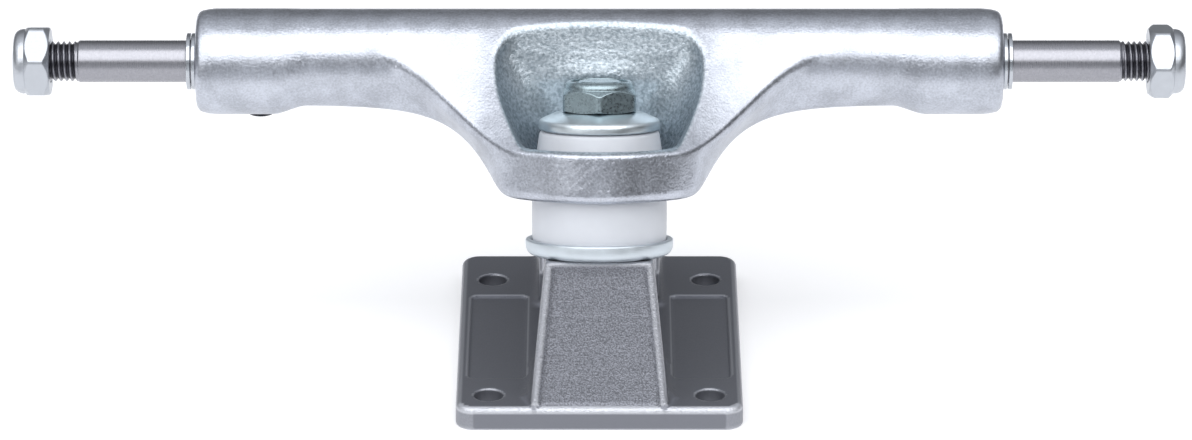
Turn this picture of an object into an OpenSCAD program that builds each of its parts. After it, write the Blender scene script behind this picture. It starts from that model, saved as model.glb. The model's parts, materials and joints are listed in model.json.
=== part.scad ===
// Skateboard truck, standing on its baseplate.
// The origin is the centre of the deck bolt pattern on the baseplate's underside, X runs along the axle,
// +Y from the kingpin to the pivot, and +Z up. All sizes are in millimetres.

/* [Baseplate] */
// Width of the plate across the deck
plate_w = 53.5; // [50:0.5:62]
// Length of the plate along the deck
plate_l = 72.6; // [70:0.2:90]
// Distance of the plate's middle behind the middle of the bolt pattern
plate_shift = 3.1; // [0:0.1:6]
// Thickness of the plate
plate_t = 4.5; // [3.5:0.25:7]
// Radius of the plate's corners
plate_corner_r = 3.4; // [2:0.2:6]
// Rounding of the plate's upper edge
plate_edge_r = 1; // [0.4:0.1:1.6]
// Rise of the plate's front edge below the column
hump = 0.8; // [0.3:0.1:1.5]
// Spacing of the deck bolts across the deck
bolt_gap_x = 41.275; // [38:0.005:44]
// Spacing of the deck bolts along the deck
bolt_gap_y = 53.975; // [50:0.005:58]
// Diameter of the deck bolt holes
bolt_hole_d = 5.4; // [4.8:0.1:6]
// Width of each recessed side panel
panel_w = 10.8; // [6:0.2:11]
// Length of each recessed side panel
panel_l = 38.5; // [20:0.5:42]
// Depth of the side panels
panel_depth = 0.5; // [0.2:0.1:1.2]
// Distance of the panels' centre lines from the middle of the plate
panel_x = 19.2; // [18.8:0.1:20.5]

/* [Kingpin column] */
// Lean of the kingpin from upright, towards the pivot
lean = 16; // [8:0.5:22]
// Place of the kingpin seat along the deck
seat_y = -12.9; // [-16:0.1:-8]
// Height of the kingpin seat above the deck
seat_z = 26.9; // [24:0.1:34]
// Distance of the column's front face from the kingpin's axis
face_reach = 10.6; // [9.5:0.1:13]
// Width of the front face at the top of the column
face_top_w = 16.4; // [12:0.1:20]
// Width of the front face at the plate
face_foot_w = 21.2; // [18:0.1:22]
// Width of the round rib on each side of the front face
rib_w = 2.3; // [1.2:0.1:3]
// Height of the ribs above the front face
rib_rise = 0.8; // [0.3:0.1:1.5]
// Distance of the column's back from the kingpin's axis
column_back = 11.2; // [10:0.1:13]
// Radius of the flare between the front face and the plate
flare_r = 4.5; // [2:0.1:6]

/* [Pivot] */
// Place of the pivot's ball along the deck
pivot_y = 22.2; // [18:0.1:26]
// Height of the pivot's ball above the deck
pivot_z = 18; // [15:0.1:24]
// Radius of the ball at the end of the pivot nose
ball_r = 5.2; // [4:0.1:6]
// Radius of the pivot nose at its root
nose_r = 6.1; // [5:0.1:6.4]
// Wall of the pivot cup
cup_wall = 2.4; // [1.5:0.1:3.5]
// Height of the cup's rim above the ball's centre
cup_rise = 7; // [4:0.1:9]
// Thickness of the rim that lies on the housing
cup_rim_t = 1; // [0.6:0.1:2]
// Wall of the pivot housing round the cup
housing_wall = 3; // [2:0.1:4]
// Height of the saddle between the column and the housing
saddle_z = 9; // [6:0.5:13]
// Width of the saddle
saddle_w = 17; // [10:0.5:24]

/* [Kingpin and bushings] */
// Diameter of the kingpin
kingpin_d = 9.525; // [8:0.005:10.5]
// Width across the flats of the kingpin's head and nut
kingpin_flats = 13.6; // [12.7:0.1:15]
// Height of the kingpin's head
head_h = 6; // [4:0.1:7]
// Metal between the kingpin's head and its seat
head_depth = 19.4; // [16:0.1:20]
// Depth of the kingpin's thread
kingpin_thread = 0.2; // [0.1:0.05:0.5]
// Diameter of the bottom cup washer
bottom_washer_d = 27.6; // [27:0.1:30]
// Thickness of the bottom cup washer
bottom_washer_t = 1.6; // [1:0.1:2.5]
// Height of the bottom washer's rim above its plate
bottom_rim_h = 1.5; // [0.5:0.1:3]
// Diameter of the bottom bushing
bottom_bushing_d = 25; // [22:0.1:26]
// Height of the bottom bushing
bottom_bushing_h = 12.8; // [10:0.1:16]
// Diameter of the top bushing at the hanger
top_bushing_d = 24; // [21:0.1:25]
// Diameter of the top bushing below the rim of its washer
top_bushing_tip_d = 22.2; // [20.5:0.1:23]
// Height of the top bushing
top_bushing_h = 7.8; // [6:0.1:10]
// Diameter of the top cup washer
top_washer_d = 22.7; // [22:0.1:25]
// Thickness of the top cup washer
top_washer_t = 1.3; // [1:0.1:2.5]
// Depth of the top washer's rim below its plate
top_rim_h = 2; // [0.5:0.1:3]
// Height of the kingpin nut's hexagon
kingpin_nut_hex_h = 4.2; // [3.5:0.1:6]
// Height of the kingpin nut's collar
kingpin_nut_collar_h = 1.5; // [1.2:0.1:3]

/* [Hanger] */
// Width of the hanger between the wheels
hanger_w = 151.9; // [130:0.1:180]
// Diameter of the drums at the hanger's ends
drum_d = 20; // [18:0.1:24]
// Length of each drum
drum_l = 14; // [8:0.5:20]
// Depth of the scoop in the beam's underside
scoop = 1.7; // [0:0.1:2]
// Rounding of the drums' outer edges
drum_edge_r = 2.6; // [1:0.1:4]
// Place of the axle along the deck
axle_y = 12.3; // [10:0.1:16]
// Height of the axle above the deck
axle_z = 55.8; // [54:0.1:60]
// Thickness of the web that the bushings clamp
web_t = 3.4; // [2.5:0.1:5]
// Depth of the seat for the bottom bushing
seat_depth = 3.4; // [1:0.1:4]
// Height of the lip in front of the top bushing
lip_h = 2.9; // [1:0.1:4]
// Rounding of the lip
lip_r = 1; // [0.5:0.1:1.5]
// Rounding of the chin's lower edge
foot_r = 1.8; // [1:0.1:2.5]
// Distance of the chin's front from the kingpin's axis
chin_reach = 15.7; // [15:0.1:18]
// Half width of the chin between the wings
chin_half = 12.5; // [11:0.1:16]
// Radius of the chin at its middle, seen along the kingpin
chin_r = 15; // [12:0.5:20]
// How far the chin falls back along the wings
chin_fall = 14; // [10:0.5:16]
// Half width of the chin's lower edge
foot_half = 18.6; // [17:0.1:20]
// Length over which that edge turns up
foot_turn = 1.5; // [1:0.1:3]
// Length over which it gets most of the way up to the beam
climb_l = 6.9; // [5:0.1:9]
// Half width of the hanger where the wings run into the beam
wing_half = 45.5; // [36:0.5:50]
// Rounding of the wings' edges where they run into the beam
wing_r = 4; // [2:0.1:6]
// Width of the gusset between the beam and the pivot nose
gusset_w = 9; // [5:0.5:12]
// Diameter of the hole in the web, which lets the hanger tilt on the kingpin
web_hole_d = 16.6; // [15:0.1:18]
// Half width of the kingpin pocket at its widest
pocket_half = 19.9; // [18:0.1:22]
// Height above the axle at which the pocket is widest
pocket_widest = 2; // [0:0.1:4]
// Radius of the pocket's corners
pocket_corner_r = 3.6; // [3:0.1:7]
// Radius of the pocket's back wall, seen along the kingpin
pocket_arch_r = 108; // [80:1:150]
// Metal left between the pocket and the axle's centre
axle_cover = 6.55; // [5.6:0.05:7]
// How far the pocket's back wall falls back above the axle
pocket_fall = 0.45; // [0:0.05:1]

/* [Axle] */
// Length of the axle
axle_l = 219.8; // [214:0.1:250]
// Diameter of the axle inside the hanger and under the speed rings
axle_core_d = 8.3; // [8.2:0.05:9]
// Diameter of the bearing seats
bearing_seat_d = 7.92; // [7.6:0.01:7.94]
// Length of the thread at each end
axle_thread_l = 11.8; // [9:0.1:16]
// Depth of the axle's thread
axle_thread = 0.2; // [0.15:0.05:0.4]
// Width across the flats of the axle nuts
axle_nut_flats = 12.7; // [11:0.1:14]
// Height of the axle nuts' hexagon
axle_nut_hex_h = 5; // [4:0.1:6]
// Height of the axle nuts' collar
axle_nut_collar_h = 1.8; // [1.2:0.1:3]
// How far the axle nuts stand out past the axle's ends
nut_proud = 0.5; // [0:0.1:1.5]
// Outer diameter of the speed rings
speed_ring_d = 10.7; // [10:0.1:13]
// Thickness of a speed ring
speed_ring_t = 0.75; // [0.4:0.05:1.5]
// Diameter of the pin that locks the axle
lock_pin_d = 5.4; // [3:0.1:6]
// Distance of the lock pin from the hanger's left end
lock_pin_inset = 11.9; // [8:0.1:20]
// Depth of the flat on the axle that the lock pin presses on
lock_flat = 0.6; // [0.3:0.1:1]
// How far the lock pin's end stands out under the drum
lock_pin_proud = 0.3; // [0:0.1:1]

/* [Fits] */
// Radial running clearance between parts that turn on one another
running = 0.05; // [0.02:0.01:0.09]
// Radial clearance of a part that slips over another
slip = 0.15; // [0.1:0.05:0.4]
// Gap between parts that lie side by side
side_gap = 0.2; // [0.1:0.05:0.4]

/* [Hidden] */
$fn = 64;
round_sides = 36;
cut = 1;
half_turn = 180;

// The stack along the kingpin, measured from its seat on the column
bushing_s = bottom_washer_t;
web_s = bushing_s + bottom_bushing_h;
top_s = web_s + web_t;
top_washer_s = top_s + top_bushing_h;
kingpin_nut_s = top_washer_s + top_washer_t + running;
kingpin_tip_s = kingpin_nut_s + kingpin_nut_hex_h + kingpin_nut_collar_h;
ring_bottom_s = web_s - seat_depth;
lip_s = top_s + lip_h;
kingpin_r = kingpin_d / 2;
kingpin_thread_r = kingpin_r - kingpin_thread;
bottom_seat_r = bottom_bushing_d / 2 + 2 * slip;
top_seat_r = top_bushing_d / 2 + 4 * slip;
top_cup_r = top_washer_d / 2 - top_washer_t * 0.8;

// Directions of the kingpin and of the line square to it that runs towards the pivot
up_y = sin(lean);
up_z = cos(lean);
function stack_y(q, s) = seat_y + q * up_z + s * up_y;
function stack_z(q, s) = seat_z - q * up_y + s * up_z;
function stack_q(y, z) = (y - seat_y) * up_z - (z - seat_z) * up_y;
function stack_s(y, z) = (y - seat_y) * up_y + (z - seat_z) * up_z;

// The steering axis, from the middle of the web to the pivot's ball
ring_y = stack_y(0, web_s + web_t / 2);
ring_z = stack_z(0, web_s + web_t / 2);
pivot_drop = atan2(ring_z - pivot_z, pivot_y - ring_y);
pivot_l = norm([pivot_y - ring_y, ring_z - pivot_z]);
cup_r = nose_r + running + cup_wall;
cup_end = pivot_l + ball_r + running + cup_wall;
cup_top = pivot_l - cup_rise;
housing_r = cup_r + housing_wall;

// The axle, seen from its middle
hanger_half = hanger_w / 2;
drum_r = drum_d / 2;
core_r = axle_core_d / 2;
bearing_seat_r = bearing_seat_d / 2;
axle_thread_r = bearing_seat_r - axle_thread;
inner_ring_x = hanger_half + side_gap;
outer_ring_x = inner_ring_x + speed_ring_t + side_gap;
core_half = outer_ring_x + speed_ring_t + side_gap;
thread_x = axle_l / 2 - axle_thread_l;
axle_nut_x = axle_l / 2 + nut_proud - axle_nut_hex_h - axle_nut_collar_h;
axle_nut_bore_r = axle_thread_r + running;
axle_q = stack_q(axle_y, axle_z);
axle_s = stack_s(axle_y, axle_z);

// A number held between two limits
function within(low, value, high) = max(low, min(high, value));
// An even change from a to b as f goes from 0 to 1
function mix(a, b, f) = a + (b - a) * f;
// A change from 0 to 1 that starts and ends level
function ease(f) = let (g = within(0, f, 1)) g * g * (3 - 2 * g);

// The point, facing direction d, of the outline that a band stretched round some circles [u, v, radius] takes
function band_point(circles, d) =
    let (
        reach = [for (c = circles) c[0] * d[0] + c[1] * d[1] + c[2]],
        c = circles[search(max(reach), reach)[0]]
    )
    [c[0] + c[2] * d[0], c[1] + c[2] * d[1]];

// The whole outline of that band, with its points in even directions
function band(circles, sides = round_sides) =
    [for (i = [0 : sides - 1]) band_point(circles, [cos((i + 0.5) * 360 / sides), sin((i + 0.5) * 360 / sides)])];

// A solid whose surface runs through rings of points, each turning the same way about the line of the rings
module loft(rings) {
    n = len(rings[0]);
    last = len(rings) - 1;
    sides = [
        for (i = [0 : last - 1], j = [0 : n - 1], half = [0, 1])
        let (k = (j + 1) % n)
        half == 0
            ? [i * n + j, (i + 1) * n + j, (i + 1) * n + k]
            : [i * n + j, (i + 1) * n + k, i * n + k]
    ];
    ends = [[for (j = [0 : n - 1]) j], [for (j = [n - 1 : -1 : 0]) last * n + j]];
    polyhedron(points = [for (ring = rings, p = ring) p], faces = concat(sides, ends));
}

// Places a thing in the kingpin's frame, with its Z along the kingpin from the seat
module on_kingpin(s = 0) {
    translate([0, seat_y, seat_z]) rotate([-lean, 0, 0]) translate([0, 0, s]) children();
}

// Places a thing in the steering axis's frame, with its Z from the web to the pivot's ball
module on_pivot(t = 0) {
    translate([0, ring_y, ring_z]) rotate([-90 - pivot_drop, 0, 0]) translate([0, 0, t]) children();
}

// Places a thing on the axle, with its Z outwards from the middle: side 1 is right and -1 is left
module on_axle(side, x = 0) {
    translate([0, axle_y, axle_z]) rotate([0, side * 90, 0]) translate([0, 0, x]) children();
}

// A flat ring
module washer(r_out, r_in, t) {
    difference() {
        cylinder(r = r_out, h = t);
        translate([0, 0, -cut]) cylinder(r = r_in, h = t + 2 * cut);
    }
}

// A locknut with a rolled collar over a nylon ring, standing on Z = 0
module locknut(flats, hex_h, collar_h, bore_r) {
    corner_r = flats / sqrt(3);
    bevel = corner_r - flats / 2;
    collar_r = flats / 2 - bevel / 2;
    difference() {
        union() {
            intersection() {
                cylinder(r = corner_r, h = hex_h, $fn = 6);
                rotate_extrude() polygon([
                    [0, 0], [flats / 2, 0], [corner_r, bevel / 2], [corner_r, hex_h - bevel / 2],
                    [flats / 2, hex_h], [0, hex_h]
                ]);
            }
            rotate_extrude() polygon([
                [0, hex_h - bevel], [collar_r, hex_h - bevel], [collar_r, hex_h + collar_h / 2],
                [collar_r - collar_h / 3, hex_h + collar_h], [0, hex_h + collar_h]
            ]);
        }
        translate([0, 0, -cut]) cylinder(r = bore_r, h = hex_h + collar_h + 2 * cut);
        translate([0, 0, insert_z(hex_h, collar_h)])
            cylinder(r = insert_r(flats, bore_r), h = insert_h(collar_h));
    }
}

// Place, radius and height of the nylon ring's groove inside a locknut
function insert_h(collar_h) = collar_h * 0.8;
function insert_z(hex_h, collar_h) = hex_h + collar_h * 0.7 - insert_h(collar_h);
function insert_r(flats, bore_r) = (bore_r + flats / 2) / 2;

// The nylon ring that fills the groove of a locknut
module nylon_ring(flats, hex_h, collar_h, bore_r) {
    translate([0, 0, insert_z(hex_h, collar_h)]) washer(insert_r(flats, bore_r), bore_r, insert_h(collar_h));
}

// One level of the plate: its outline drawn in by some distance, at a height
function plate_ring(inset, z) =
    let (
        r = plate_corner_r - inset,
        x = plate_w / 2 - plate_corner_r,
        y = plate_l / 2 - plate_corner_r
    )
    [for (p = band([[x, y, r], [-x, y, r], [-x, -y, r], [x, -y, r]])) [p[0], p[1] + plate_shift, z]];

// The flat plate with its rounded upper edge
module plate() {
    steps = 3;
    loft(concat(
        [plate_ring(0, 0)],
        [for (i = [0 : steps]) let (a = i * 90 / steps)
            plate_ring(plate_edge_r * (1 - cos(a)), plate_t - plate_edge_r * (1 - sin(a)))]
    ));
}

// One level of the kingpin column: two ribs in front and a round back. f is 0 at the plate and 1 at the seat,
// and the points lie level at height z, or square to the kingpin at the seat
function column_ring(f, z) =
    let (
        r = rib_w / 2,
        half = mix(face_foot_w, face_top_w, f) / 2 + rib_w,
        back_r = column_back * 0.6,
        front = r - face_reach - rib_rise,
        circles = [
            [half - back_r, column_back - back_r, back_r], [back_r - half, column_back - back_r, back_r],
            [r - half, front, r], [half - r, front, r]
        ]
    )
    [for (p = band(circles))
        let (s = f == 1 ? 0 : (z - seat_z + p[1] * up_y) / up_z)
        [p[0], stack_y(p[1], s), stack_z(p[1], s)]];

// The column that carries the kingpin, with its front face sunk between two ribs
module kingpin_column() {
    foot_s = (plate_t - seat_z) / up_z;
    difference() {
        loft([column_ring(0, plate_t / 2), column_ring(1, seat_z)]);
        on_kingpin() rotate([90, 0, 0]) translate([0, 0, face_reach])
            linear_extrude(2 * rib_rise) polygon([
                [-face_top_w / 2, cut], [face_top_w / 2, cut],
                [face_foot_w / 2, foot_s - cut], [-face_foot_w / 2, foot_s - cut]
            ]);
    }
}

// Where the column's front face is at a height
function face_y(z) = let (s = (z - seat_z - face_reach * up_y) / up_z) stack_y(-face_reach, s);

// The hollow curve from the plate's front edge up into the column's front face
module column_apron() {
    steps = 8;
    edge_y = plate_shift - plate_l / 2 + plate_edge_r / 2;
    edge_z = plate_t + hump;
    top_z = edge_z + flare_r;
    start = [edge_y, edge_z];
    bend = [face_y(edge_z), edge_z];
    end = [face_y(top_z), top_z];
    curve = [for (i = [0 : steps]) let (f = i / steps) mix(mix(start, bend, f), mix(bend, end, f), f)];
    foot_half = face_foot_w / 2 + rib_w * 0.7;
    head_half = face_top_w / 2 + rib_w * 0.7;
    intersection() {
        rotate([90, 0, 90]) translate([0, 0, -plate_w / 2]) linear_extrude(plate_w) polygon(concat(
            [[edge_y, plate_t / 2]], curve, [[end[0] + face_reach, top_z], [end[0] + face_reach, plate_t / 2]]
        ));
        rotate([90, 0, 0]) translate([0, 0, -plate_l]) linear_extrude(2 * plate_l) polygon([
            [-foot_half, plate_t / 2], [foot_half, plate_t / 2], [head_half, seat_z], [-head_half, seat_z]
        ]);
    }
}

// The housing of the pivot cup and the foot that carries it
module pivot_housing() {
    foot_y = plate_shift + plate_l / 2 - plate_edge_r;
    intersection() {
        hull() {
            on_pivot(cup_top) cylinder(r = housing_r, h = cup_end - cup_top, $fn = 32);
            translate([-housing_r, pivot_y - housing_r / 2, plate_t / 2])
                cube([2 * housing_r, foot_y - pivot_y + housing_r / 2, plate_t / 2]);
        }
        translate([-plate_w / 2, seat_y, plate_t / 2]) cube([plate_w, foot_y - seat_y, seat_z * 2]);
    }
}

module baseplate() {
    color("#56585c") difference() {
        union() {
            plate();
            kingpin_column();
            column_apron();
            pivot_housing();
            translate([-saddle_w / 2, seat_y, plate_t / 2]) cube([saddle_w, pivot_y - seat_y, saddle_z - plate_t / 2]);
        }
        for (x = [-1, 1], y = [-1, 1])
            translate([x * bolt_gap_x / 2, y * bolt_gap_y / 2, -cut]) cylinder(d = bolt_hole_d, h = plate_t + 2 * cut);
        for (x = [-1, 1])
            translate([x * panel_x - panel_w / 2, -panel_l / 2, plate_t - panel_depth])
                cube([panel_w, panel_l, panel_depth + cut]);
        on_kingpin(-head_depth - cut) cylinder(r = kingpin_r + running, h = head_depth + 2 * cut);
        on_kingpin(-head_depth - seat_z)
            cylinder(r = (kingpin_flats / 2 + slip) / cos(30), h = seat_z, $fn = 6);
        on_pivot(cup_top - housing_r) cylinder(r = cup_r, h = cup_end - cup_top + housing_r);
    }
}

// Half outline of the pivot nose, grown by some clearance, from a distance along the steering axis to its tip
function nose_outline(start, grow) = concat(
    [[0, start], [nose_r + grow, start], [nose_r + grow, cup_top - cup_rim_t], [ball_r + grow, pivot_l]],
    [for (a = [10 : 10 : 80]) [(ball_r + grow) * cos(a), pivot_l + (ball_r + grow) * sin(a)]],
    [[0, pivot_l + ball_r + grow]]
);

module pivot_cup() {
    color("#e8e6dc") difference() {
        union() {
            on_pivot(cup_top) cylinder(r = cup_r, h = cup_end - cup_top);
            on_pivot(cup_top - cup_rim_t) cylinder(r = cup_r + housing_wall / 2, h = cup_rim_t);
        }
        on_pivot() rotate_extrude() polygon(nose_outline(cup_top - cup_rim_t - cut, running));
    }
}

module kingpin() {
    tip_bevel = 2 * kingpin_thread;
    thread_s = top_s;
    color("#9aa0a4") on_kingpin() union() {
        rotate_extrude() polygon([
            [0, -head_depth - head_h / 2], [kingpin_r, -head_depth - head_h / 2], [kingpin_r, thread_s],
            [kingpin_thread_r, thread_s], [kingpin_thread_r, kingpin_tip_s - tip_bevel],
            [kingpin_thread_r - tip_bevel, kingpin_tip_s], [0, kingpin_tip_s]
        ]);
        translate([0, 0, -head_depth - head_h]) cylinder(r = kingpin_flats / sqrt(3), h = head_h, $fn = 6);
    }
}

// Half outline of a cupped washer that stands on Z = 0 with its rim upwards
function cup_outline(d, hole_r, t, rim_h, inner_r) =
    let (r = d / 2, bend = t)
    [
        [hole_r, 0], [r - bend, 0], [r - bend * 0.3, bend * 0.3], [r, bend], [r, t + rim_h],
        [inner_r, t + rim_h], [inner_r, t], [hole_r, t]
    ];

module bottom_washer() {
    color("#cfd6da") on_kingpin() rotate_extrude() polygon(cup_outline(
        bottom_washer_d, kingpin_r + slip, bottom_washer_t, bottom_rim_h, bottom_bushing_d / 2 + slip
    ));
}

module bottom_bushing() {
    edge = 0.5;
    r = bottom_bushing_d / 2;
    top = web_s;
    color("#f1f2f0") on_kingpin() rotate_extrude() polygon([
        [kingpin_r + slip, bushing_s], [r - edge, bushing_s], [r, bushing_s + edge],
        [r, top - edge], [r - edge, top], [kingpin_r + slip, top]
    ]);
}

module top_bushing() {
    edge = 0.5;
    r = top_bushing_d / 2;
    rim_s = top_washer_s - top_rim_h - side_gap;
    color("#f1f2f0") on_kingpin() rotate_extrude() polygon([
        [kingpin_r + slip, top_s], [r - edge, top_s], [r, top_s + edge], [top_bushing_tip_d / 2, rim_s],
        [top_cup_r - slip, rim_s], [top_cup_r - slip, top_washer_s], [kingpin_r + slip, top_washer_s]
    ]);
}

module top_washer() {
    color("#c6d0d0") on_kingpin(top_washer_s + top_washer_t) rotate([half_turn, 0, 0]) rotate_extrude()
        polygon(cup_outline(top_washer_d, kingpin_r + slip, top_washer_t, top_rim_h, top_cup_r));
}

module kingpin_nut() {
    color("#b9c4c4") on_kingpin(kingpin_nut_s) rotate([0, 0, -90]) locknut(
        kingpin_flats, kingpin_nut_hex_h, kingpin_nut_collar_h, kingpin_thread_r + running
    );
}

module kingpin_nut_insert() {
    color("#e9ecec") on_kingpin(kingpin_nut_s) nylon_ring(
        kingpin_flats, kingpin_nut_hex_h, kingpin_nut_collar_h, kingpin_thread_r + running
    );
}

// How far a ray from point o along d runs inside a band stretched round some circles
function band_reach(circles, o, d, tests) =
    min([for (n = tests) let (lean_in = n * d) if (lean_in > 0.02)
        (max([for (c = circles) c[0] * n[0] + c[1] * n[1] + c[2]]) - o * n) / lean_in]);

// Directions that the rays and the bands' tangents are tried in
tangents = [for (a = [0 : 3 : 357]) [cos(a), sin(a)]];
// Directions, seen from the axle, in which the wings' crease and lower edge run into the beam
crease_dir = 156;
foot_dir = 239;
// Rays from the axle across a section, closest together towards the chin
ray_sides = 48;
chin_dir = atan2(stack_z(-chin_reach, (ring_bottom_s + lip_s) / 2) - axle_z,
    stack_y(-chin_reach, (ring_bottom_s + lip_s) / 2) - axle_y);
rays = [for (i = [0 : ray_sides - 1])
    let (f = (2 * i + 1) / ray_sides - 1, a = chin_dir + 180 * sign(f) * pow(abs(f), 1.7))
    [cos(a), sin(a)]];

// A circle square to the axle, given by its place along and square to the kingpin
function stack_circle(q, s, r) = [stack_y(q, s), stack_z(q, s), r];

// One section of the hanger, square to the axle at x: a band round the beam, the crease at the lip,
// the chin's lower edge and the back of the ring, which run into the beam along the wings
function hanger_ring(x) =
    let (
        u = abs(x),
        hollow = scoop * ease((hanger_half - drum_l - u) / (drum_l / 2)),
        end = max(0, u - hanger_half + drum_edge_r),
        shrink = drum_edge_r - sqrt(max(0, drum_edge_r * drum_edge_r - end * end)),
        beam = [axle_y, axle_z + hollow / 2, drum_r - hollow / 2 - shrink],
        inner = beam[2] - wing_r,
        upper = [beam[0] + inner * cos(crease_dir), beam[1] + inner * sin(crease_dir), wing_r],
        under = [beam[0] + inner * cos(foot_dir), beam[1] + inner * sin(foot_dir), wing_r],
        chin = chin_reach - chin_fall * (1 - exp(-u * u / (2 * chin_r * chin_fall))),
        ring = sqrt(max(0, chin_reach * chin_reach - u * u)),
        lip = stack_circle(lip_r - chin, lip_s - lip_r, lip_r),
        foot = stack_circle(foot_r - chin, ring_bottom_s + foot_r, foot_r),
        heel = stack_circle(ring - foot_r, ring_bottom_s + foot_r, foot_r),
        span = wing_half - chin_half,
        out = ease((u - chin_half) / span),
        past = u - foot_half,
        climb = 1 - exp(-(past + norm([past, foot_turn])) / (2 * climb_l)),
        sink = ease((1.25 * chin_reach - u) / (0.6 * chin_reach)),
        circles = [beam, mix(lip, upper, out), mix(foot, under, climb), mix(under, heel, sink)],
        o = [axle_y, axle_z]
    )
    [for (d = rays) let (p = o + d * band_reach(circles, o, d, tangents)) [x, p[0], p[1]]];

// Places of the sections from the middle to the right end: close together where the outline turns
function hanger_stations() = concat(
    [for (i = [0 : 6]) chin_half * 0.85 * i / 6],
    [for (i = [1 : 18]) mix(chin_half * 0.85, wing_half, i / 18)],
    [mix(wing_half, hanger_half - drum_l * 1.5, 0.7)],
    [for (i = [0 : 4]) hanger_half - drum_l * (1.5 - i * 0.15)],
    [for (a = [0 : 22.5 : 90]) hanger_half - drum_edge_r * (1 - sin(a))]
);

module hanger_body() {
    right = hanger_stations();
    n = len(right);
    stations = concat([for (i = [n - 1 : -1 : 1]) -right[i]], right);
    loft([for (x = stations) hanger_ring(x)]);
}

// One level of the kingpin pocket, square to the kingpin: it widens upwards, its back wall leans in before the
// axle's metal, and above the lip its front is open
function pocket_ring(s) =
    let (
        rise = within(0, (s - top_s) / (axle_s + pocket_widest - top_s), 1),
        r = mix(top_seat_r, pocket_corner_r, ease(rise * 5)),
        side = mix(top_seat_r, pocket_half, 1 - pow(1 - rise, 1.8)) - r,
        back = mix(axle_q - axle_cover, top_seat_r, ease((axle_s - s) / (1.1 * axle_cover)))
            + pocket_fall * ease((s - axle_s) / axle_cover),
        front = s > lip_s ? -chin_reach : 0,
        circles = [
            [0, min(0, back - top_seat_r), top_seat_r], [side, front, r], [-side, front, r],
            [side, back - r, r], [-side, back - r, r]
        ]
    )
    [for (p = band(circles)) [p[0], p[1] - p[0] * p[0] / (2 * pocket_arch_r), s]];

module kingpin_pocket() {
    lean_s = axle_s - 1.1 * axle_cover;
    levels = concat(
        [for (i = [0 : 4]) mix(top_s, lip_s, i / 4)],
        [for (i = [0 : 4]) mix(lip_s + side_gap, lean_s, i / 4)],
        [for (i = [1 : 8]) mix(lean_s, axle_s, i / 8)],
        [for (i = [1 : 4]) axle_s + axle_cover * i / 4],
        [axle_s + drum_d]
    );
    on_kingpin() loft([for (s = levels) pocket_ring(s)]);
}

// A gusset in the middle plane, from the beam's underside to the pivot nose
module gusset() {
    rotate([90, 0, 90]) translate([0, 0, -gusset_w / 2]) linear_extrude(gusset_w) polygon([
        [axle_y - drum_r / 2, axle_z - drum_r / 2], [ring_y, ring_z],
        [mix(ring_y, pivot_y, cup_top * 0.85 / pivot_l), mix(ring_z, pivot_z, cup_top * 0.85 / pivot_l)],
        [axle_y + drum_r * 0.6, axle_z - drum_r * 0.6]
    ]);
}

module hanger() {
    color("#c9ccd2") difference() {
        union() {
            hanger_body();
            gusset();
            on_pivot() rotate_extrude() polygon(nose_outline(0, 0));
        }
        kingpin_pocket();
        on_kingpin(-cut) cylinder(r = bottom_seat_r, h = web_s + cut);
        on_kingpin(web_s - cut) cylinder(d = web_hole_d, h = web_t + 2 * cut);
        on_axle(1, -hanger_half - cut) cylinder(r = core_r, h = hanger_w + 2 * cut);
        translate([lock_pin_inset - hanger_half, axle_y, axle_z - drum_d]) cylinder(d = lock_pin_d, h = drum_d);
    }
}

module axle() {
    tip_bevel = 3 * axle_thread;
    half = axle_l / 2;
    color("#8f9297") difference() {
        on_axle(1) rotate_extrude() polygon([
            [0, -half], [axle_thread_r - tip_bevel, -half], [axle_thread_r, tip_bevel - half],
            [axle_thread_r, -thread_x], [bearing_seat_r, -thread_x], [bearing_seat_r, -core_half],
            [core_r, -core_half], [core_r, core_half], [bearing_seat_r, core_half], [bearing_seat_r, thread_x],
            [axle_thread_r, thread_x], [axle_thread_r, half - tip_bevel], [axle_thread_r - tip_bevel, half], [0, half]
        ]);
        translate([lock_pin_inset - hanger_half, axle_y, axle_z - drum_d - core_r + lock_flat])
            cylinder(d = lock_pin_d, h = drum_d);
    }
}

module axle_lock_pin() {
    low = axle_z - drum_r - lock_pin_proud;
    color("#6d6f73") translate([lock_pin_inset - hanger_half, axle_y, low])
        cylinder(d = lock_pin_d, h = axle_z - core_r + lock_flat - low);
}

// One speed ring: side 1 is right and -1 is left
module speed_ring(side, x) {
    color("#d5dade") on_axle(side, x) washer(speed_ring_d / 2, core_r + running, speed_ring_t);
}

// One axle nut, turned about the axle by an angle
module axle_nut(side, turn) {
    color("#dfe4e8") on_axle(side, axle_nut_x) rotate([0, 0, turn])
        locknut(axle_nut_flats, axle_nut_hex_h, axle_nut_collar_h, axle_nut_bore_r);
}

module axle_nut_insert(side) {
    color("#e9ecec") on_axle(side, axle_nut_x)
        nylon_ring(axle_nut_flats, axle_nut_hex_h, axle_nut_collar_h, axle_nut_bore_r);
}

baseplate();
pivot_cup();
kingpin();
bottom_washer();
bottom_bushing();
top_bushing();
top_washer();
kingpin_nut();
kingpin_nut_insert();
hanger();
axle();
axle_lock_pin();
speed_ring(-1, inner_ring_x);  // left_inner_speed_ring
speed_ring(-1, outer_ring_x);  // left_outer_speed_ring
speed_ring(1, inner_ring_x);  // right_inner_speed_ring
speed_ring(1, outer_ring_x);  // right_outer_speed_ring
axle_nut(-1, 0);  // left_axle_nut
axle_nut_insert(-1);  // left_axle_nut_insert
axle_nut(1, 12);  // right_axle_nut
axle_nut_insert(1);  // right_axle_nut_insert
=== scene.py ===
"""The looks of a skateboard truck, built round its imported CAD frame.

Lengths are in metres. X runs along the axle, Y from the truck's front to its pivot, and Z up from the deck.
"""

import itertools
import json
import math

import bmesh
import bpy
import numpy as np
from bpy.props import FloatProperty, FloatVectorProperty, PointerProperty
from mathutils import Matrix, Vector


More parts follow.
